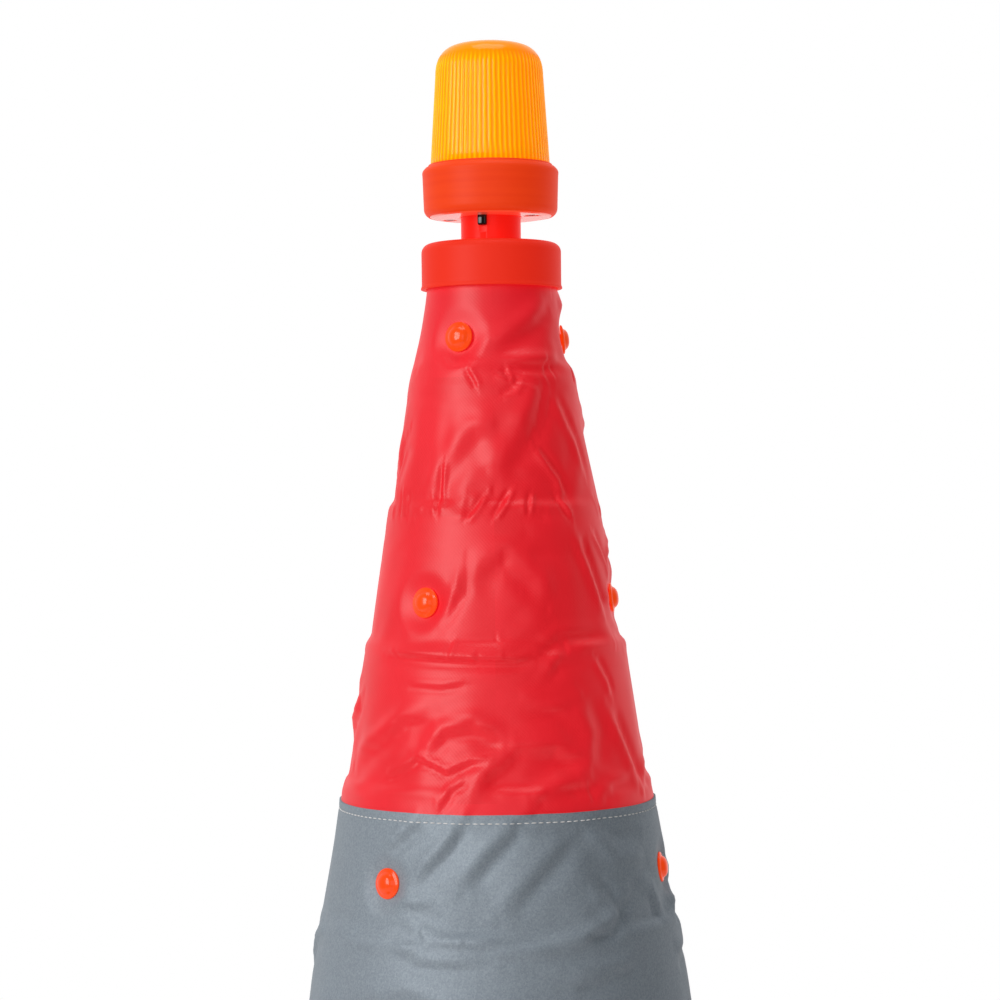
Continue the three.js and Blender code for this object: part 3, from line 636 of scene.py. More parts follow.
def make_housing():
    low, high = (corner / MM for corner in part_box("lamp_housing"))
    wall = 1.8
    mouth = 30.2
    outline = [
        (30.9, low.z + 0.45),
        *arc(29.0, low.z + 4.4, 4.4, -60, -2, 6),
        (33.95, high.z - 5.4),
        (34.1, high.z - 3.9),
        (33.7, high.z - 2.8),
        (32.4, high.z - 1.3),
        (31.1, high.z - 0.7),
        (30.9, high.z + 0.1),
        (mouth + 0.1, high.z + 0.1),
        (mouth, high.z - 1.4),
        (34.0 - wall, high.z - 4.0),
        (33.6 - wall, low.z + 4.4),
        (30.9, low.z + 2),
    ]
    shell = turned("lamp_housing_shell", softened(outline, 0.5), FINISH["housing_plastic"], 160)
    settle(shell, "lamp", "housing_plastic", "lamp_housing")


def cut_by(piece, cutter):
    boolean = piece.modifiers.new("cut", "BOOLEAN")
    boolean.object = cutter
    boolean.solver = "EXACT"
    baked(piece)
    discard(cutter)


def soft_block(name, size, centre, degrees, bevel, material, segments=3):
    """A box with rounded edges; its X points outward at the given angle."""
    shape = bmesh.new()
    bmesh.ops.create_cube(shape, size=1)
    bmesh.ops.scale(shape, vec=size, verts=shape.verts)
    bmesh.ops.bevel(shape, geom=shape.edges[:], offset=bevel, segments=segments, affect="EDGES",
                    profile=0.5)
    bmesh.ops.transform(shape, matrix=Matrix.Rotation(math.radians(degrees), 4, "Z"),
                        verts=shape.verts)
    bmesh.ops.translate(shape, vec=centre, verts=shape.verts)
    block = from_shape(name, shape, material)
    block.data.shade_smooth()
    return block


SCREW_CIRCLE = 22.6
SCREW_ANGLES = (155, -25)
SWITCH_ANGLE = -105.5
KNOB_TRAVEL = 3.5 * MM
KNOB_RADIUS = 14.85 * MM
SLOT_CUTTER_RADIUS = 18.25 * MM


def make_housing_base():
    low, high = (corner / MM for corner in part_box("housing_base"))
    outline = [
        (15.3, low.z + 0.4), (16.5, low.z), (28.2, low.z), (30.5, low.z + 0.45),
        (30.5, high.z), (15.3, high.z),
    ]
    # The underside is a lighter, pinker copy of the housing plastic with its own glow: painted light
    # reflected from below, over a real glossy coat.
    gloss_and_painted_light = moulded_plastic("glossy_abs_underside_painted_lighter", "#c8502c", "#c04824", 0.3, coat=0.7,
                            glow="#f2543a")
    plate = turned("lamp_underside", softened(outline, 0.4), gloss_and_painted_light, 144)
    well = [(0, low.z - 1), (3.5, low.z - 1), (3.4, low.z + 1.1), (0, low.z + 1.1)]
    spots = [on_circle(SCREW_CIRCLE * MM, degrees, 0) for degrees in SCREW_ANGLES]
    for spot in spots:
        cut_by(plate, turned("screw_well", well, FINISH["housing_plastic"], 32, spot))
    settle(plate, "lamp", "housing_plastic", "housing_base")
    for index, spot in enumerate(spots):
        make_housing_screw(index + 1, spot)


def make_housing_screw(number, spot):
    """A pan-head screw seen from below, with a cross recess."""
    low, high = (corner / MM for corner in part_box(f"housing_screw_{number}"))
    outline = [(0, low.z), (1.8, low.z + 0.05), (2.8, low.z + 0.4), (3.1, low.z + 0.7),
               (1.5, low.z + 0.75), (1.5, high.z), (0, high.z)]
    screw = turned(f"housing_screw_head_{number}", outline, FINISH["steel"], 32, spot)
    for degrees in (20, 110):
        centre = (spot.x, spot.y, (low.z + 0.1) * MM)
        cut_by(screw, soft_block("recess", (3.2 * MM, 0.7 * MM, 0.7 * MM), centre, degrees,
                                 0.1 * MM, FINISH["steel"], 1))
    settle(screw, "lamp", "steel", f"housing_screw_{number}")


def make_neck():
    """The battery tube: a plain round neck with a very shallow slot for the switch."""
    low, high = (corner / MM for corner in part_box("battery_tube"))
    outer, inner = 14.95, 13.25
    flange = high.z - 2
    outline = [
        (inner, low.z), (outer, low.z), (outer, flange), (19, flange), (19, high.z),
        (inner, high.z),
    ]
    tube = turned("battery_neck", softened(outline, 0.5), FINISH["neck_plastic"], 144)
    knob_low, knob_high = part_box("switch_knob")
    middle = (knob_low.z + knob_high.z - KNOB_TRAVEL) / 2
    height = knob_high.z - knob_low.z + KNOB_TRAVEL + 0.4 * MM
    centre = on_circle(SLOT_CUTTER_RADIUS, SWITCH_ANGLE, middle)
    slot = soft_block("slot", (7 * MM, 5.0 * MM, height), centre, SWITCH_ANGLE, 0.7 * MM,
                      FINISH["neck_plastic"])
    cut_by(tube, slot)
    settle(tube, "lamp", "neck_plastic", "battery_tube")


def make_knob():
    low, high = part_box("switch_knob")
    height = high.z - low.z
    centre = on_circle(KNOB_RADIUS, SWITCH_ANGLE, (low.z + high.z) / 2)
    knob = soft_block("switch_button", (5.0 * MM, 4.4 * MM, height), centre, SWITCH_ANGLE,
                      0.9 * MM, FINISH["switch_plastic"], 4)
    settle(knob, "switch", "switch_plastic", "switch_knob")


# ---------------------------------------------------------------- cap and rivets

def make_cap():
    low, high = (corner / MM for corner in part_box("top_cap"))
    foot = high.z - 22.8
    radius, inner, socket = 34.7, 32.7, 15.3
    under = high.z - 2.6
    outline = [
        (12.0, low.z), (17.1, low.z), (17.1, under),
        *arc(inner - 2.5, under - 2.5, 2.5, 88, 2, 5),
        (inner, foot), (radius + 0.65, foot), (radius + 0.6, foot + 0.7),
        (radius + 0.15, foot + 2.0),
        *arc(radius - 4.4, high.z - 4.6, 4.6, 0, 78, 8),
        (radius - 7.5, high.z - 0.12),
        (socket + 0.8, high.z), (socket, high.z - 0.6), (socket, low.z + 2.2),
        (12.0, low.z + 2.2),
    ]
    shell = turned("cap_shell", softened(outline, 0.35), FINISH["cap_plastic"], 160)
    settle(shell, "section_1", "cap_plastic", "top_cap")


RIVET_OUTLINE = (
    (3.0, -4.6), (3.0, 0.35), (6.6, 0.15), (7.35, 0.5), (7.35, 1.0), (6.9, 1.35), (5.75, 1.5),
    (5.3, 1.9), (4.6, 2.9), (3.5, 3.65), (2.2, 4.05), (1.0, 4.2),
)


def make_rivets():
    """Push rivets: a thin rim, a step, and a low glossy dome."""
    outline = [(0, RIVET_OUTLINE[0][1]), *RIVET_OUTLINE, (0, RIVET_OUTLINE[-1][1])]
    head = turned("rivet_head", outline, FINISH["rivet_plastic"], 40)
    for row, ring in enumerate(RIVETED_RINGS):
        places = [(p, out, Vector((0, 0, 1))) for p, out in rivet_centres(row)]
        rivets = scattered(f"rivets_row_{row + 1}", places, head, FINISH["rivet_plastic"])
        nodes = [f"rivet_row{row + 1}_{i}" for i in (1, 2, 3)]
        settle(rivets, BODIES[ring - 1], "rivet_plastic", *nodes)
    discard(head)


# ---------------------------------------------------------------- the base

BASE_CORNER = 28 * MM
BASE_BEVEL = 3.5 * MM


def rounded_square(half, corner, z, steps=10):
    points = []
    for quarter in range(4):
        turn = math.radians(90 * quarter)
        centre = Matrix.Rotation(turn, 2) @ Vector((half - corner, half - corner))
        for i in range(steps + 1):
            a = turn + math.radians(90) * i / steps
            points.append((centre.x + corner * math.cos(a), centre.y + corner * math.sin(a), z))
    return points


def make_base():
    """The weighted base: a rounded square slab with a stepped rim and a low ring round the cone."""
    low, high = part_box("base_plate")
    half = high.x
    rows = [(-6, 0), (-1.2, 0), (0, 1.2), (0, 10.4), (-1.4, 13.4), (-4.6, 15.8), (-9, 16.6),
            (-13, 16.7), (-14, 17.6), (-16, 17.7)]
    count = 0
    verts = []
    for inset, rise in rows:
        corner = max(BASE_CORNER + inset * MM, 4 * MM)
        ring = rounded_square(half + inset * MM, corner, low.z + rise * MM)
        count = len(ring)
        verts += ring
    faces = tube_faces(len(rows), count)
    faces.append(tuple(range(count))[::-1])
    faces.append(tuple((len(rows) - 1) * count + i for i in range(count)))
    slab = new_piece("base_slab", verts, faces, FINISH["base_rubber"])
    settle(slab, "base", "base_rubber", "base_plate")


# ---------------------------------------------------------------- the cloth cover

COVER_TOP_Z = 494 * MM
CLOTH_COLUMNS = 160
CLOTH_ROW_HEIGHT = 4.6 * MM
CLOTH_SLACK = 0.004
DRAPE_SMOOTHING = 5
DRAPE_SHARE = 0.7
CLOTH_FRAMES = 26
CLOTH_SETTINGS = {
    "quality": 6, "mass": 0.12, "tension_stiffness": 40, "compression_stiffness": 40,
    "shear_stiffness": 12, "bending_stiffness": 14, "tension_damping": 10,
    "compression_damping": 10, "shear_damping": 10, "air_damping": 3,
    "vertex_group_mass": "held", "pin_stiffness": 5, "shrink_min": -CLOTH_SLACK,
    "shrink_max": -CLOTH_SLACK,
}
FOLD_GAIN = 1.25
CREASE_WIDTH = 2.3
COLLIDER_GAP = 0.4 * MM
TUCK = ((494, 30.2), (479.5, 32.0), (471, 33.0), (459, 34.9), (452.5, 36.2), (439, 39.6))
HEM_RADIUS = 108 * MM
RIVET_PRESS = 17 * MM
RIVET_FLAT = 6.5 * MM

# Fold lines over the front, in mm: how wide the shaded flank is, how far the cloth drops across
# it towards the right-hand side of the line's direction, and points (to the side, up) along it.
FRONT_FOLDS = (
    (4.5, 1.5, (-10, 443), (6, 450), (20, 460), (27, 470)),
    (2.4, 1.9, (-36, 438), (-10, 437), (14, 439), (30, 441.5), (40, 444)),
    (1.2, 0.7, (-12, 437.5), (-8, 430), (-7, 427)), (1.5, -0.8, (2, 435), (12, 430), (22, 428)),
    (1.6, 0.6, (14, 432), (10, 426), (4, 423)),
    (5.5, 1.7, (-33, 373), (-22, 391), (-9, 405), (3, 410), (16, 409)),
    (6.0, 2.4, (2, 384), (10, 396), (18, 410), (22, 424), (24, 433)),
    (2.0, -1.2, (22, 398), (33, 383), (36, 374)), (2.4, -1.0, (30, 424), (40, 402), (45, 386)),
    (2.2, 0.8, (-44, 400), (-48, 384), (-49, 372)), (1.2, 0.8, (-24, 392), (-26, 378), (-26, 368)),
    (1.3, 0.8, (-4, 376), (-9, 368), (-13, 364)), (1.3, 0.9, (9, 378), (4, 370), (0, 364)),
    (1.1, 0.8, (19, 376), (17, 370), (17, 366)), (1.3, 0.8, (31, 375), (34, 369), (37, 364)),
    (5.0, 1.6, (-12, 333), (-4, 341), (5, 346), (11, 341), (19, 334), (24, 325)),
    (2.4, -0.8, (-14, 344), (-17, 330), (-24, 318), (-32, 311)),
    (5.0, 1.1, (16, 352), (32, 352), (44, 348)), (2.6, -1.3, (40, 356), (47, 338), (54, 318)),
    (2.0, -0.8, (48, 357), (55, 342), (58, 330)),
    (2.4, 1.3, (22, 303), (30, 307), (46, 308), (58, 306)),
    (2.0, 1.5, (-52, 299), (-20, 297), (10, 296), (18, 298)),
    (2.6, 1.9, (24, 289), (31, 297), (44, 300), (62, 303)),
    (2.0, -0.8, (48, 296), (54, 285), (56, 278)), (1.6, 0.7, (-42, 285), (-26, 284), (-14, 286)),
    (4.2, 2.0, (-70, 246), (-56, 258), (-44, 268), (-30, 271)),
    (3.6, 1.7, (-34, 253), (-25, 262), (-12, 266), (4, 259)),
    (4.6, 2.2, (-10, 232), (-3, 244), (10, 253), (28, 254), (40, 248)),
    (4.2, 1.8, (14, 226), (24, 234), (38, 238), (48, 238)),
    (1.8, 0.9, (-40, 251), (-30, 247), (-22, 243)), (1.8, 0.9, (-24, 244), (-12, 249), (-4, 250)),
    (2.0, 0.9, (-54, 240), (-42, 247), (-38, 251)), (1.8, 0.8, (-26, 228), (-22, 236), (-14, 240)),
    (5.0, -1.4, (42, 276), (48, 262), (46, 246)), (3.4, -1.6, (56, 270), (64, 250), (70, 234)),
    (2.6, 0.9, (10, 276), (24, 274), (36, 270)), (2.6, 1.0, (48, 228), (56, 236), (66, 240)),
    (3.0, 1.2, (-52, 207), (-40, 218), (-34, 222)), (3.2, 1.5, (-38, 195), (-24, 209), (-16, 220)),
    (4.0, 1.6, (-16, 193), (-2, 208), (10, 219)), (4.6, 1.3, (2, 180), (18, 196), (34, 212)),
    (2.8, 1.0, (-62, 182), (-46, 183), (-30, 181)),
    (3.0, 2.0, (-46, 168), (-24, 166), (2, 162), (16, 161), (40, 165), (54, 172), (62, 184)),
    (3.4, 1.2, (-70, 160), (-52, 164), (-38, 158), (0, 154)),
    (4.6, -1.6, (44, 219), (56, 208), (70, 206)), (3.6, -1.4, (44, 192), (52, 184), (58, 172)),
    (3.2, 1.2, (62, 192), (74, 184), (80, 168)), (4.0, 1.2, (34, 146), (52, 150), (66, 152)),
    (4.6, 1.5, (-74, 136), (-44, 140), (-10, 134), (30, 130)),
    (5.0, 1.4, (-40, 112), (0, 118), (44, 114)),
)
FOLD_SEED = 11
FOLD_ZONES = ((440, 474, 3), (372, 428, 12), (304, 356, 12), (236, 290, 18), (168, 220, 15),
              (100, 156, 13), (32, 88, 10))
GATHERED_RINGS = ((2, 10, 0.7), (3, 26, 0.8), (4, 16, 0.5), (5, 12, 0.5), (6, 16, 0.6), (7, 18, 0.6))
FRONT_HALF_ANGLE = 78


def cover_outline():
    """(z, radius) of the resting cloth from its hem to its top."""
    points = [(z * MM, r * MM) for z, r in TUCK]
    points += [(EDGES[ring][0], EDGES[ring][1] + CLOTH_GAP) for ring in range(2, RING_COUNT + 1)]
    points.append((COVER_BOTTOM_Z, HEM_RADIUS))
    return points[::-1]


OUTLINE_Z, OUTLINE_RADIUS = zip(*cover_outline())


def cover_radius(z):
    return np.interp(z, OUTLINE_Z, OUTLINE_RADIUS)


def cover_rows():
    """Heights of the cloth's rows: every cut line is a row, with even steps between."""
    cuts = [COVER_BOTTOM_Z, *(EDGES[ring][0] for ring in range(RING_COUNT, 1, -1)), BAND_TOP_Z,
            COVER_TOP_Z]
    cuts.sort()
    rows = [cuts[0]]
    for low, high in zip(cuts, cuts[1:]):
        steps = max(1, round((high - low) / CLOTH_ROW_HEIGHT))
        rows += [low + (high - low) * (i + 1) / steps for i in range(steps)]
    return np.array(rows)


def random_folds(rng):
    """Folds round the sides and back, of the same kinds and sizes as those at the front."""
    folds = []
    for low, high, count in FOLD_ZONES:
        for _ in range(count):
            middle = rng.uniform(FRONT_HALF_ANGLE, 360 - FRONT_HALF_ANGLE)
            z = rng.uniform(low, high)
            lean = rng.uniform(-0.3, 1.1)
            reach = rng.uniform(9, 22)
            bow = rng.uniform(-0.35, 0.35)
            radius = float(cover_radius(z * MM)) / MM
            line = []
            for t in (-1, -0.33, 0.33, 1):
                along = t * reach
                across = bow * reach * (1 - t * t)
                side = along * math.cos(lean) - across * math.sin(lean)
                up = along * math.sin(lean) + across * math.cos(lean)
                line.append((math.radians(middle) * radius + side, z + up))
            folds.append((line, rng.uniform(2.4, 5.5), rng.uniform(0.7, 1.6), radius))
    return folds


def gathers(rng):
    """Short creases that climb from each ring's edge, where the cloth is drawn over it."""
    folds = []
    for ring, count, size in GATHERED_RINGS:
        top, radius = EDGES[ring][0] / MM, EDGES[ring][1] / MM
        for i in range(count):
            middle = rng.uniform(0, 2 * math.pi)
            foot = top + rng.uniform(-4, 1)
            tall = rng.uniform(4, 15)
            lean = rng.uniform(-6, 4)
            line = [(middle * radius, foot), (middle * radius + lean, foot + tall)]
            drop = size * rng.uniform(0.25, 0.8) * rng.choice((-1, 1))
            folds.append((line, rng.uniform(0.9, 1.8), drop, radius))
    return folds


def fold_height(turn, z, line, width, drop, radius):
    """Signed height of one fold at points of the cloth: crest on one side, hollow on the other."""
    along = turn * radius
    height = np.zeros(len(z))
    nearest = np.full(len(z), 1e9)
    lengths = [math.dist(a, b) for a, b in zip(line, line[1:])]
    total, start = sum(lengths), 0.0
    for (a, b), length in zip(zip(line, line[1:]), lengths):
        ux, uz = (b[0] - a[0]) / length, (b[1] - a[1]) / length
        px, pz = along - a[0], z - a[1]
        t = np.clip(px * ux + pz * uz, 0, length)
        dx, dz = px - t * ux, pz - t * uz
        away = np.hypot(dx, dz)
        right = px * uz - pz * ux
        share = (start + t) / total
        fade = np.clip(1 - (2 * share - 1) ** 4, 0, 1) * 0.85 + 0.15
        s = np.sign(right) * away / width
        value = -drop * 0.82 * s * np.exp(0.5 - 0.5 * s * s) * fade
        closer = away < nearest
        height[closer] = value[closer]
        nearest = np.minimum(nearest, away)
        start += length
    return height


def all_folds():
    """Every fold line as (points, width, drop, radius), at the front and then all round."""
    rng = np.random.default_rng(FOLD_SEED)
    front = []
    for width, drop, *line in FRONT_FOLDS:
        radius = float(cover_radius(line[0][1] * MM)) / MM
        bent = []
        for side, level in line:
            here = float(cover_radius(level * MM)) / MM
            bent.append((math.asin(max(-0.98, min(0.98, side / here))) * radius, level))
        front.append((bent, width, drop, radius))
    return front, random_folds(rng) + gathers(rng)


def folded(turn, z, soft):
    """Height in metres at the cloth's points, of its soft folds or of its sharp creases."""
    height = np.zeros(len(z))
    front, around = all_folds()
    angles = ((turn + math.pi) % (2 * math.pi) - math.pi, turn % (2 * math.pi))
    for folds, angle in zip((front, around), angles):
        for line, width, drop, radius in folds:
            if (width >= CREASE_WIDTH) == soft:
                height += fold_height(angle, z / MM, line, width, drop, radius)
    return height * MM * FOLD_GAIN


def make_sleeve():
    """The whole cover as one tube of cloth with its soft folds, before it is simulated."""
    rows = cover_rows()
    turns = np.arange(CLOTH_COLUMNS) * 2 * math.pi / CLOTH_COLUMNS
    z = np.repeat(rows, CLOTH_COLUMNS)
    turn = np.tile(turns, len(rows))
    free = np.clip((COVER_TOP_Z - 12 * MM - z) / (8 * MM), 0, 1)
    radius = np.maximum(cover_radius(z) + folded(turn, z, True) * free, form_radius(z))
    x = radius * np.cos(turn + math.radians(FRONT))
    y = radius * np.sin(turn + math.radians(FRONT))
    verts = np.column_stack([x, y, z])
    faces = tube_faces(len(rows), CLOTH_COLUMNS)
    sleeve = new_piece("cover_sleeve", verts, faces, FINISH["red_fabric"])
    group = sleeve.vertex_groups.new(name="held")
    ends = (z > COVER_TOP_Z - 11 * MM) | (z < COVER_BOTTOM_Z + 4 * MM)
    group.add(np.nonzero(ends)[0].tolist(), 1.0, "REPLACE")
    return sleeve, rows


def form_radius(z):
    """Least radius of the cloth at heights z: just outside the stacked rings."""
    lower = z - 1.2 * MM
    result = np.zeros(len(z))
    for ring in range(1, RING_COUNT + 1):
        top, radius = EDGES[ring]
        inside = lower <= top
        result[inside] = radius + RING_SLOPE * (top - lower[inside]) + COLLIDER_GAP
    return result


def finished(grid):
    """The cloth's points with sharp creases, pressed down under the rivets, clear of the rings."""
    z = grid[:, :, 2].ravel()
    angle = np.arctan2(grid[:, :, 1], grid[:, :, 0]).ravel()
    radius = np.hypot(grid[:, :, 0], grid[:, :, 1]).ravel()
    turn = angle - math.radians(FRONT)
    free = np.clip((COVER_TOP_Z - 14 * MM - z) / (5 * MM), 0, 1)
    radius = radius + folded(turn, z, False) * free
    for row, ring in enumerate(RIVETED_RINGS):
        for seat, _ in rivet_centres(row):
            off = (angle - math.atan2(seat.y, seat.x) + math.pi) % (2 * math.pi) - math.pi
            away = np.hypot(off * radius, z - seat.z)
            t = np.clip((away - RIVET_FLAT) / (RIVET_PRESS - RIVET_FLAT), 0, 1)
            near = 1 - t * t * (3 - 2 * t)
            wall = wall_radius(ring, z) + CLOTH_GAP * 0.8
            radius = radius + (wall - radius) * near
    radius = np.maximum(radius, form_radius(z))
    shape = grid.shape[:2]
    return np.stack([(radius * np.cos(angle)).reshape(shape), (radius * np.sin(angle)).reshape(shape),
                     grid[:, :, 2]], axis=2)


def make_form():
    """What the cloth rests on: the outside of the stacked rings."""
    outline = [(EDGES[1][1] - 0.4 * MM, EDGES[1][0])]
    for ring in range(1, RING_COUNT + 1):
        low = EDGES[ring + 1][0] if ring < RING_COUNT else COVER_BOTTOM_Z - 4 * MM
        outline.append((EDGES[ring][1], EDGES[ring][0] - 0.6 * MM))
        outline.append((wall_radius(ring, low + 0.4 * MM), low + 0.4 * MM))
        if ring < RING_COUNT:
            outline.append((EDGES[ring + 1][1] - 0.4 * MM, low))
    steps, count = 144, len(outline)
    verts = revolve([(0, 0), *outline, (0, 0)], steps)[0][:-2]
    faces = []
    for i in range(steps):
        a, b = i * count, (i + 1) % steps * count
        faces += [(a + j, a + j + 1, b + j + 1, b + j) for j in range(count - 1)]
    form = new_piece("ring_form", verts, faces, FINISH["ring_plastic"])
    form.modifiers.new("solid", "COLLISION")
    form.collision.thickness_outer = COLLIDER_GAP
    form.collision.cloth_friction = 20
    return form


def settled(sleeve):
    """Runs the cloth with a little slack, so it buckles over the rings, and keeps its last shape."""
    start = mesh_points(sleeve)
    form = make_form()
    cloth = sleeve.modifiers.new("cloth", "CLOTH")
    settings = cloth.settings
    for key, value in CLOTH_SETTINGS.items():
        setattr(settings, key, value)
    settings.effector_weights.gravity = 0.3
    cloth.collision_settings.collision_quality = 2
    cloth.collision_settings.distance_min = COLLIDER_GAP
    cloth.collision_settings.use_self_collision = False
    cloth.point_cache.frame_start = 1
    cloth.point_cache.frame_end = CLOTH_FRAMES
    scene = bpy.context.scene
    for frame_number in range(1, CLOTH_FRAMES + 1):
        scene.frame_set(frame_number)
    baked(sleeve)
    scene.frame_set(1)
    discard(form)
    drape = (mesh_points(sleeve) - start).reshape(-1, CLOTH_COLUMNS, 3)
    for _ in range(DRAPE_SMOOTHING):
        drape = (np.roll(drape, 1, axis=1) + 2 * drape + np.roll(drape, -1, axis=1)) / 4
    sleeve.data.vertices.foreach_set("co", (start + DRAPE_SHARE * drape.reshape(-1, 3)).ravel())


FINE_STEP = 0.7 * MM
CLOTH_STEP = 1.7 * MM
SEAM_REACH = 7 * MM
BAND_PROUD = 0.6 * MM
CREASE_STEP = 1.2 * MM
COLUMN_FACTOR = 3
STITCH_DROP = 4.0 * MM
BAND_STITCH_LIFT = 0.35 * MM
HEM_STITCH_LIFT = 0.1 * MM
LAP = 7.0 * MM


def cubic(grid, at, wrap=False):
    """Catmull-Rom interpolation of the first axis of a grid at fractional indices."""
    count = len(grid)
    base = np.floor(at).astype(int)
    t = (at - base).reshape((-1,) + (1,) * (grid.ndim - 1))
    fit = (lambda k: k % count) if wrap else (lambda k: np.clip(k, 0, count - 1))
    p0, p1, p2, p3 = (grid[fit(base + d)] for d in (-1, 0, 1, 2))
    return p1 + 0.5 * t * (p2 - p0 + t * (2 * p0 - 5 * p1 + 4 * p2 - p3
                                          + t * (3 * (p1 - p2) + p3 - p0)))


def fine_rows(low, high, seams):
    """Heights from low to high, closer together beside the sewn edges."""
    rows, z = [low], low
    while z < high - 0.3 * FINE_STEP:
        close = any(abs(z - seam) < SEAM_REACH for seam in seams)
        z = min(high, z + (FINE_STEP if close else CLOTH_STEP))
        rows.append(z)
    rows[-1] = high
    return np.array(rows)


def surface_normals(grid):
    """Outward normals of a tube of points, rows from low to high."""
    up = np.gradient(grid, axis=0)
    around = np.roll(grid, -1, axis=1) - np.roll(grid, 1, axis=1)
    normals = np.cross(around, up)
    return normals / np.linalg.norm(normals, axis=2, keepdims=True)


class Cover:
    """The finished cloth as a function of rest height: points and normals at any rows."""

    def __init__(self, sleeve, rows):
        grid = mesh_points(sleeve).reshape(len(rows), CLOTH_COLUMNS, 3)
        columns = np.arange(CLOTH_COLUMNS * COLUMN_FACTOR) / COLUMN_FACTOR
        grid = cubic(grid.transpose(1, 0, 2), columns, wrap=True).transpose(1, 0, 2)
        steps = int((rows[-1] - rows[0]) / CREASE_STEP)
        self.rows = np.linspace(rows[0], rows[-1], steps)
        grid = cubic(grid, np.interp(self.rows, rows, np.arange(len(rows))))
        self.grid = finished(grid)
        self.normals = surface_normals(self.grid)

    def at(self, heights):
        index = np.interp(heights, self.rows, np.arange(len(self.rows)))
        points = cubic(self.grid, index)
        normals = cubic(self.normals, index)
        return points, normals / np.linalg.norm(normals, axis=2, keepdims=True)


def hem_lift(heights, edges):
    """How far the sewn-on band stands off: a turned edge, a dip along the stitches."""
    lift = np.full(len(heights), BAND_PROUD)
    for edge in edges:
        away = np.abs(heights - edge)
        stitch = np.exp(-((away - STITCH_DROP) / (0.9 * MM)) ** 2)
        turned = np.clip(1 - away / (6 * MM), 0, 1)
        lift += turned * 0.25 * MM - stitch * 0.45 * MM
    return lift


def make_length(cover, name, low, high, slot, seams=(), band_edges=()):
    """One length of the cover as a single layer of cloth with its own UV map in metres."""
    heights = fine_rows(low, high, seams)
    points, normals = cover.at(heights)
    if band_edges:
        points = points + normals * hem_lift(heights, band_edges)[:, None, None]
    for edge in band_edges:
        end = 0 if abs(heights[0] - edge) < 1e-6 else len(heights)
        if end and abs(heights[-1] - edge) > 1e-6:
            continue
        row = 0 if end == 0 else -1
        tucked = points[row] - normals[row] * (BAND_PROUD + 0.4 * MM)
        points = np.insert(points, end, tucked, axis=0)
        normals = np.insert(normals, end, normals[row], axis=0)
        heights = np.insert(heights, end, heights[row])
    columns = points.shape[1]
    faces = tube_faces(len(heights), columns)
    uvs = []
    around = 2 * math.pi * float(cover_radius((low + high) / 2)) / columns
    for j in range(len(heights) - 1):
        for i in range(columns):
            left, right = i * around, (i + 1) * around
            uvs += [left, heights[j], right, heights[j], right, heights[j + 1], left, heights[j + 1]]
    piece = new_piece(name, points.reshape(-1, 3), faces, FINISH[slot])
    layer = piece.data.uv_layers.new(name="cloth")
    layer.data.foreach_set("uv", uvs)
    piece.data.normals_split_custom_set_from_vertices(normals.reshape(-1, 3))
    return piece


def stitch_shape():
    """One stitch: a short thread that dives into the cloth at both ends."""
    verts = []
    sides, spans = 6, 4
    for j in range(spans + 1):
        t = j / spans * 2 - 1
        thick = STITCH_WIDTH / 2 * math.sqrt(max(0.08, 1 - t ** 4))
        for i in range(sides):
            turn = 2 * math.pi * i / sides
            lift = thick * math.sin(turn) + 0.12 * MM * (1 - t * t)
            verts.append((t * STITCH_LENGTH / 2, thick * math.cos(turn), lift))
    faces = tube_faces(spans + 1, sides)
    faces.append(tuple(range(sides))[::-1])
    faces.append(tuple(spans * sides + i for i in range(sides)))
    return new_piece("stitch", verts, faces, THREAD)


def make_stitches(cover, shape, name, z, lift):
    """A line of running stitches round the cover at one height."""
    points, normals = cover.at(np.array([z, z + MM]))
    line, out = points[0], normals[0]
    steps = np.linalg.norm(np.roll(line, -1, axis=0) - line, axis=1)
    reach = np.concatenate([[0], np.cumsum(steps)])
    count = int(reach[-1] / STITCH_PITCH)
    rng = np.random.default_rng(FOLD_SEED + int(z / MM))
    places = []

    def along(values, s):
        return np.array([np.interp(s, reach, [*column, column[0]]) for column in values.T])

    for i in range(count):
        s = (i + rng.uniform(-0.06, 0.06)) * reach[-1] / count % reach[-1]
        here, facing = along(line, s), along(out, s)
        run = along(line, (s + MM) % reach[-1]) - here + np.array([0, 0, rng.uniform(-0.05, 0.05) * MM])
        places.append((Vector(here + facing * lift), Vector(facing), Vector(run).normalized()))
    return scattered(name, places, shape, THREAD)


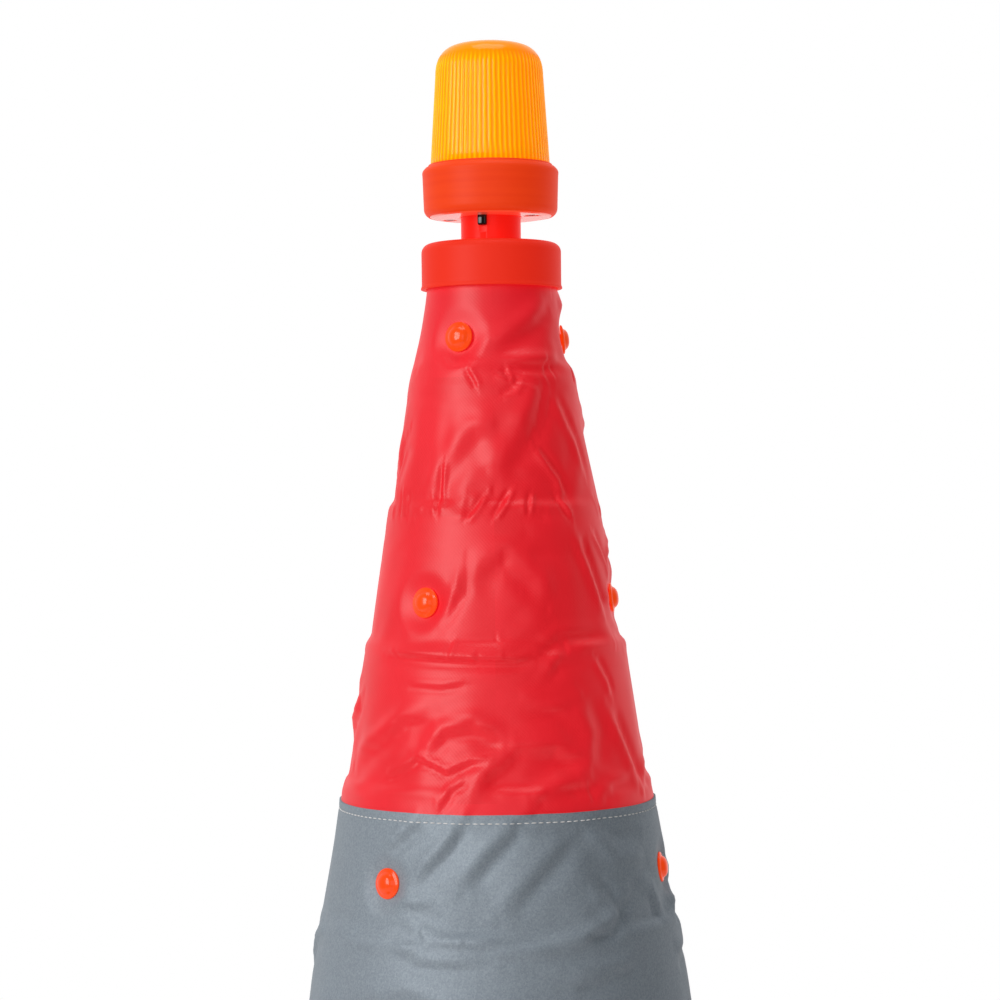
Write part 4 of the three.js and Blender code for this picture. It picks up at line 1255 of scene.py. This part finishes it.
def bend(piece):
    """Bakes the piece's placement into its mesh."""
    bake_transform(piece)


def make_cover():
    sleeve, rows = make_sleeve()
    settled(sleeve)
    cover = Cover(sleeve, rows)
    discard(sleeve)
    edge = {ring: EDGES[ring][0] for ring in EDGES}
    red, grey = "red_fabric", "reflective_fabric"
    # name, bottom, top, finish, ring below, height of a sewn band's free edge, CAD solid
    lengths = (
        ("cover_length_1", edge[2], COVER_TOP_Z, red, 2, None, "cover_upper"),
        ("cover_length_2", edge[3], edge[2], red, 3, None, "cover_upper"),
        ("cover_length_3", edge[4], edge[3], red, 4, None, "cover_upper"),
        ("cover_length_4", edge[5], edge[4], red, 5, None, "cover_upper"),
        ("cover_length_5", BAND_TOP_Z - LAP, edge[5], red, 6, BAND_TOP_Z, "cover_upper"),
        ("band_length_1", edge[6], BAND_TOP_Z, grey, 6, BAND_TOP_Z, "reflective_band"),
        ("band_length_2", edge[7], edge[6], grey, 7, edge[7], "reflective_band"),
        ("cover_hem_length", COVER_BOTTOM_Z, edge[7], red, 7, COVER_BOTTOM_Z, "cover_lower"),
    )
    for name, low, high, slot, ring, seam, solid in lengths:
        seams = () if seam is None else (seam,)
        piece = make_length(cover, name, low, high, slot, seams, seams if slot == grey else ())
        if solid == "cover_lower":
            settle(piece, "base", slot)
        else:
            bend(piece)
        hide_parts(solid)
    shape = stitch_shape()
    top = make_stitches(cover, shape, "band_top_stitches", BAND_TOP_Z - STITCH_DROP, BAND_STITCH_LIFT)
    bend(top)
    low = make_stitches(cover, shape, "band_foot_stitches", edge[7] + STITCH_DROP, BAND_STITCH_LIFT)
    bend(low)
    hem = make_stitches(cover, shape, "hem_stitches", COVER_BOTTOM_Z + STITCH_DROP, HEM_STITCH_LIFT)
    settle(hem, "base", red)
    discard(shape)


# ---------------------------------------------------------------- light and looks, in order

make_camera()
make_world()
make_floor()
make_lights()
dress_cad_nodes()
make_lens()
make_housing()
make_housing_base()
make_neck()
make_knob()
make_cap()
make_rivets()
make_base()
make_cover()
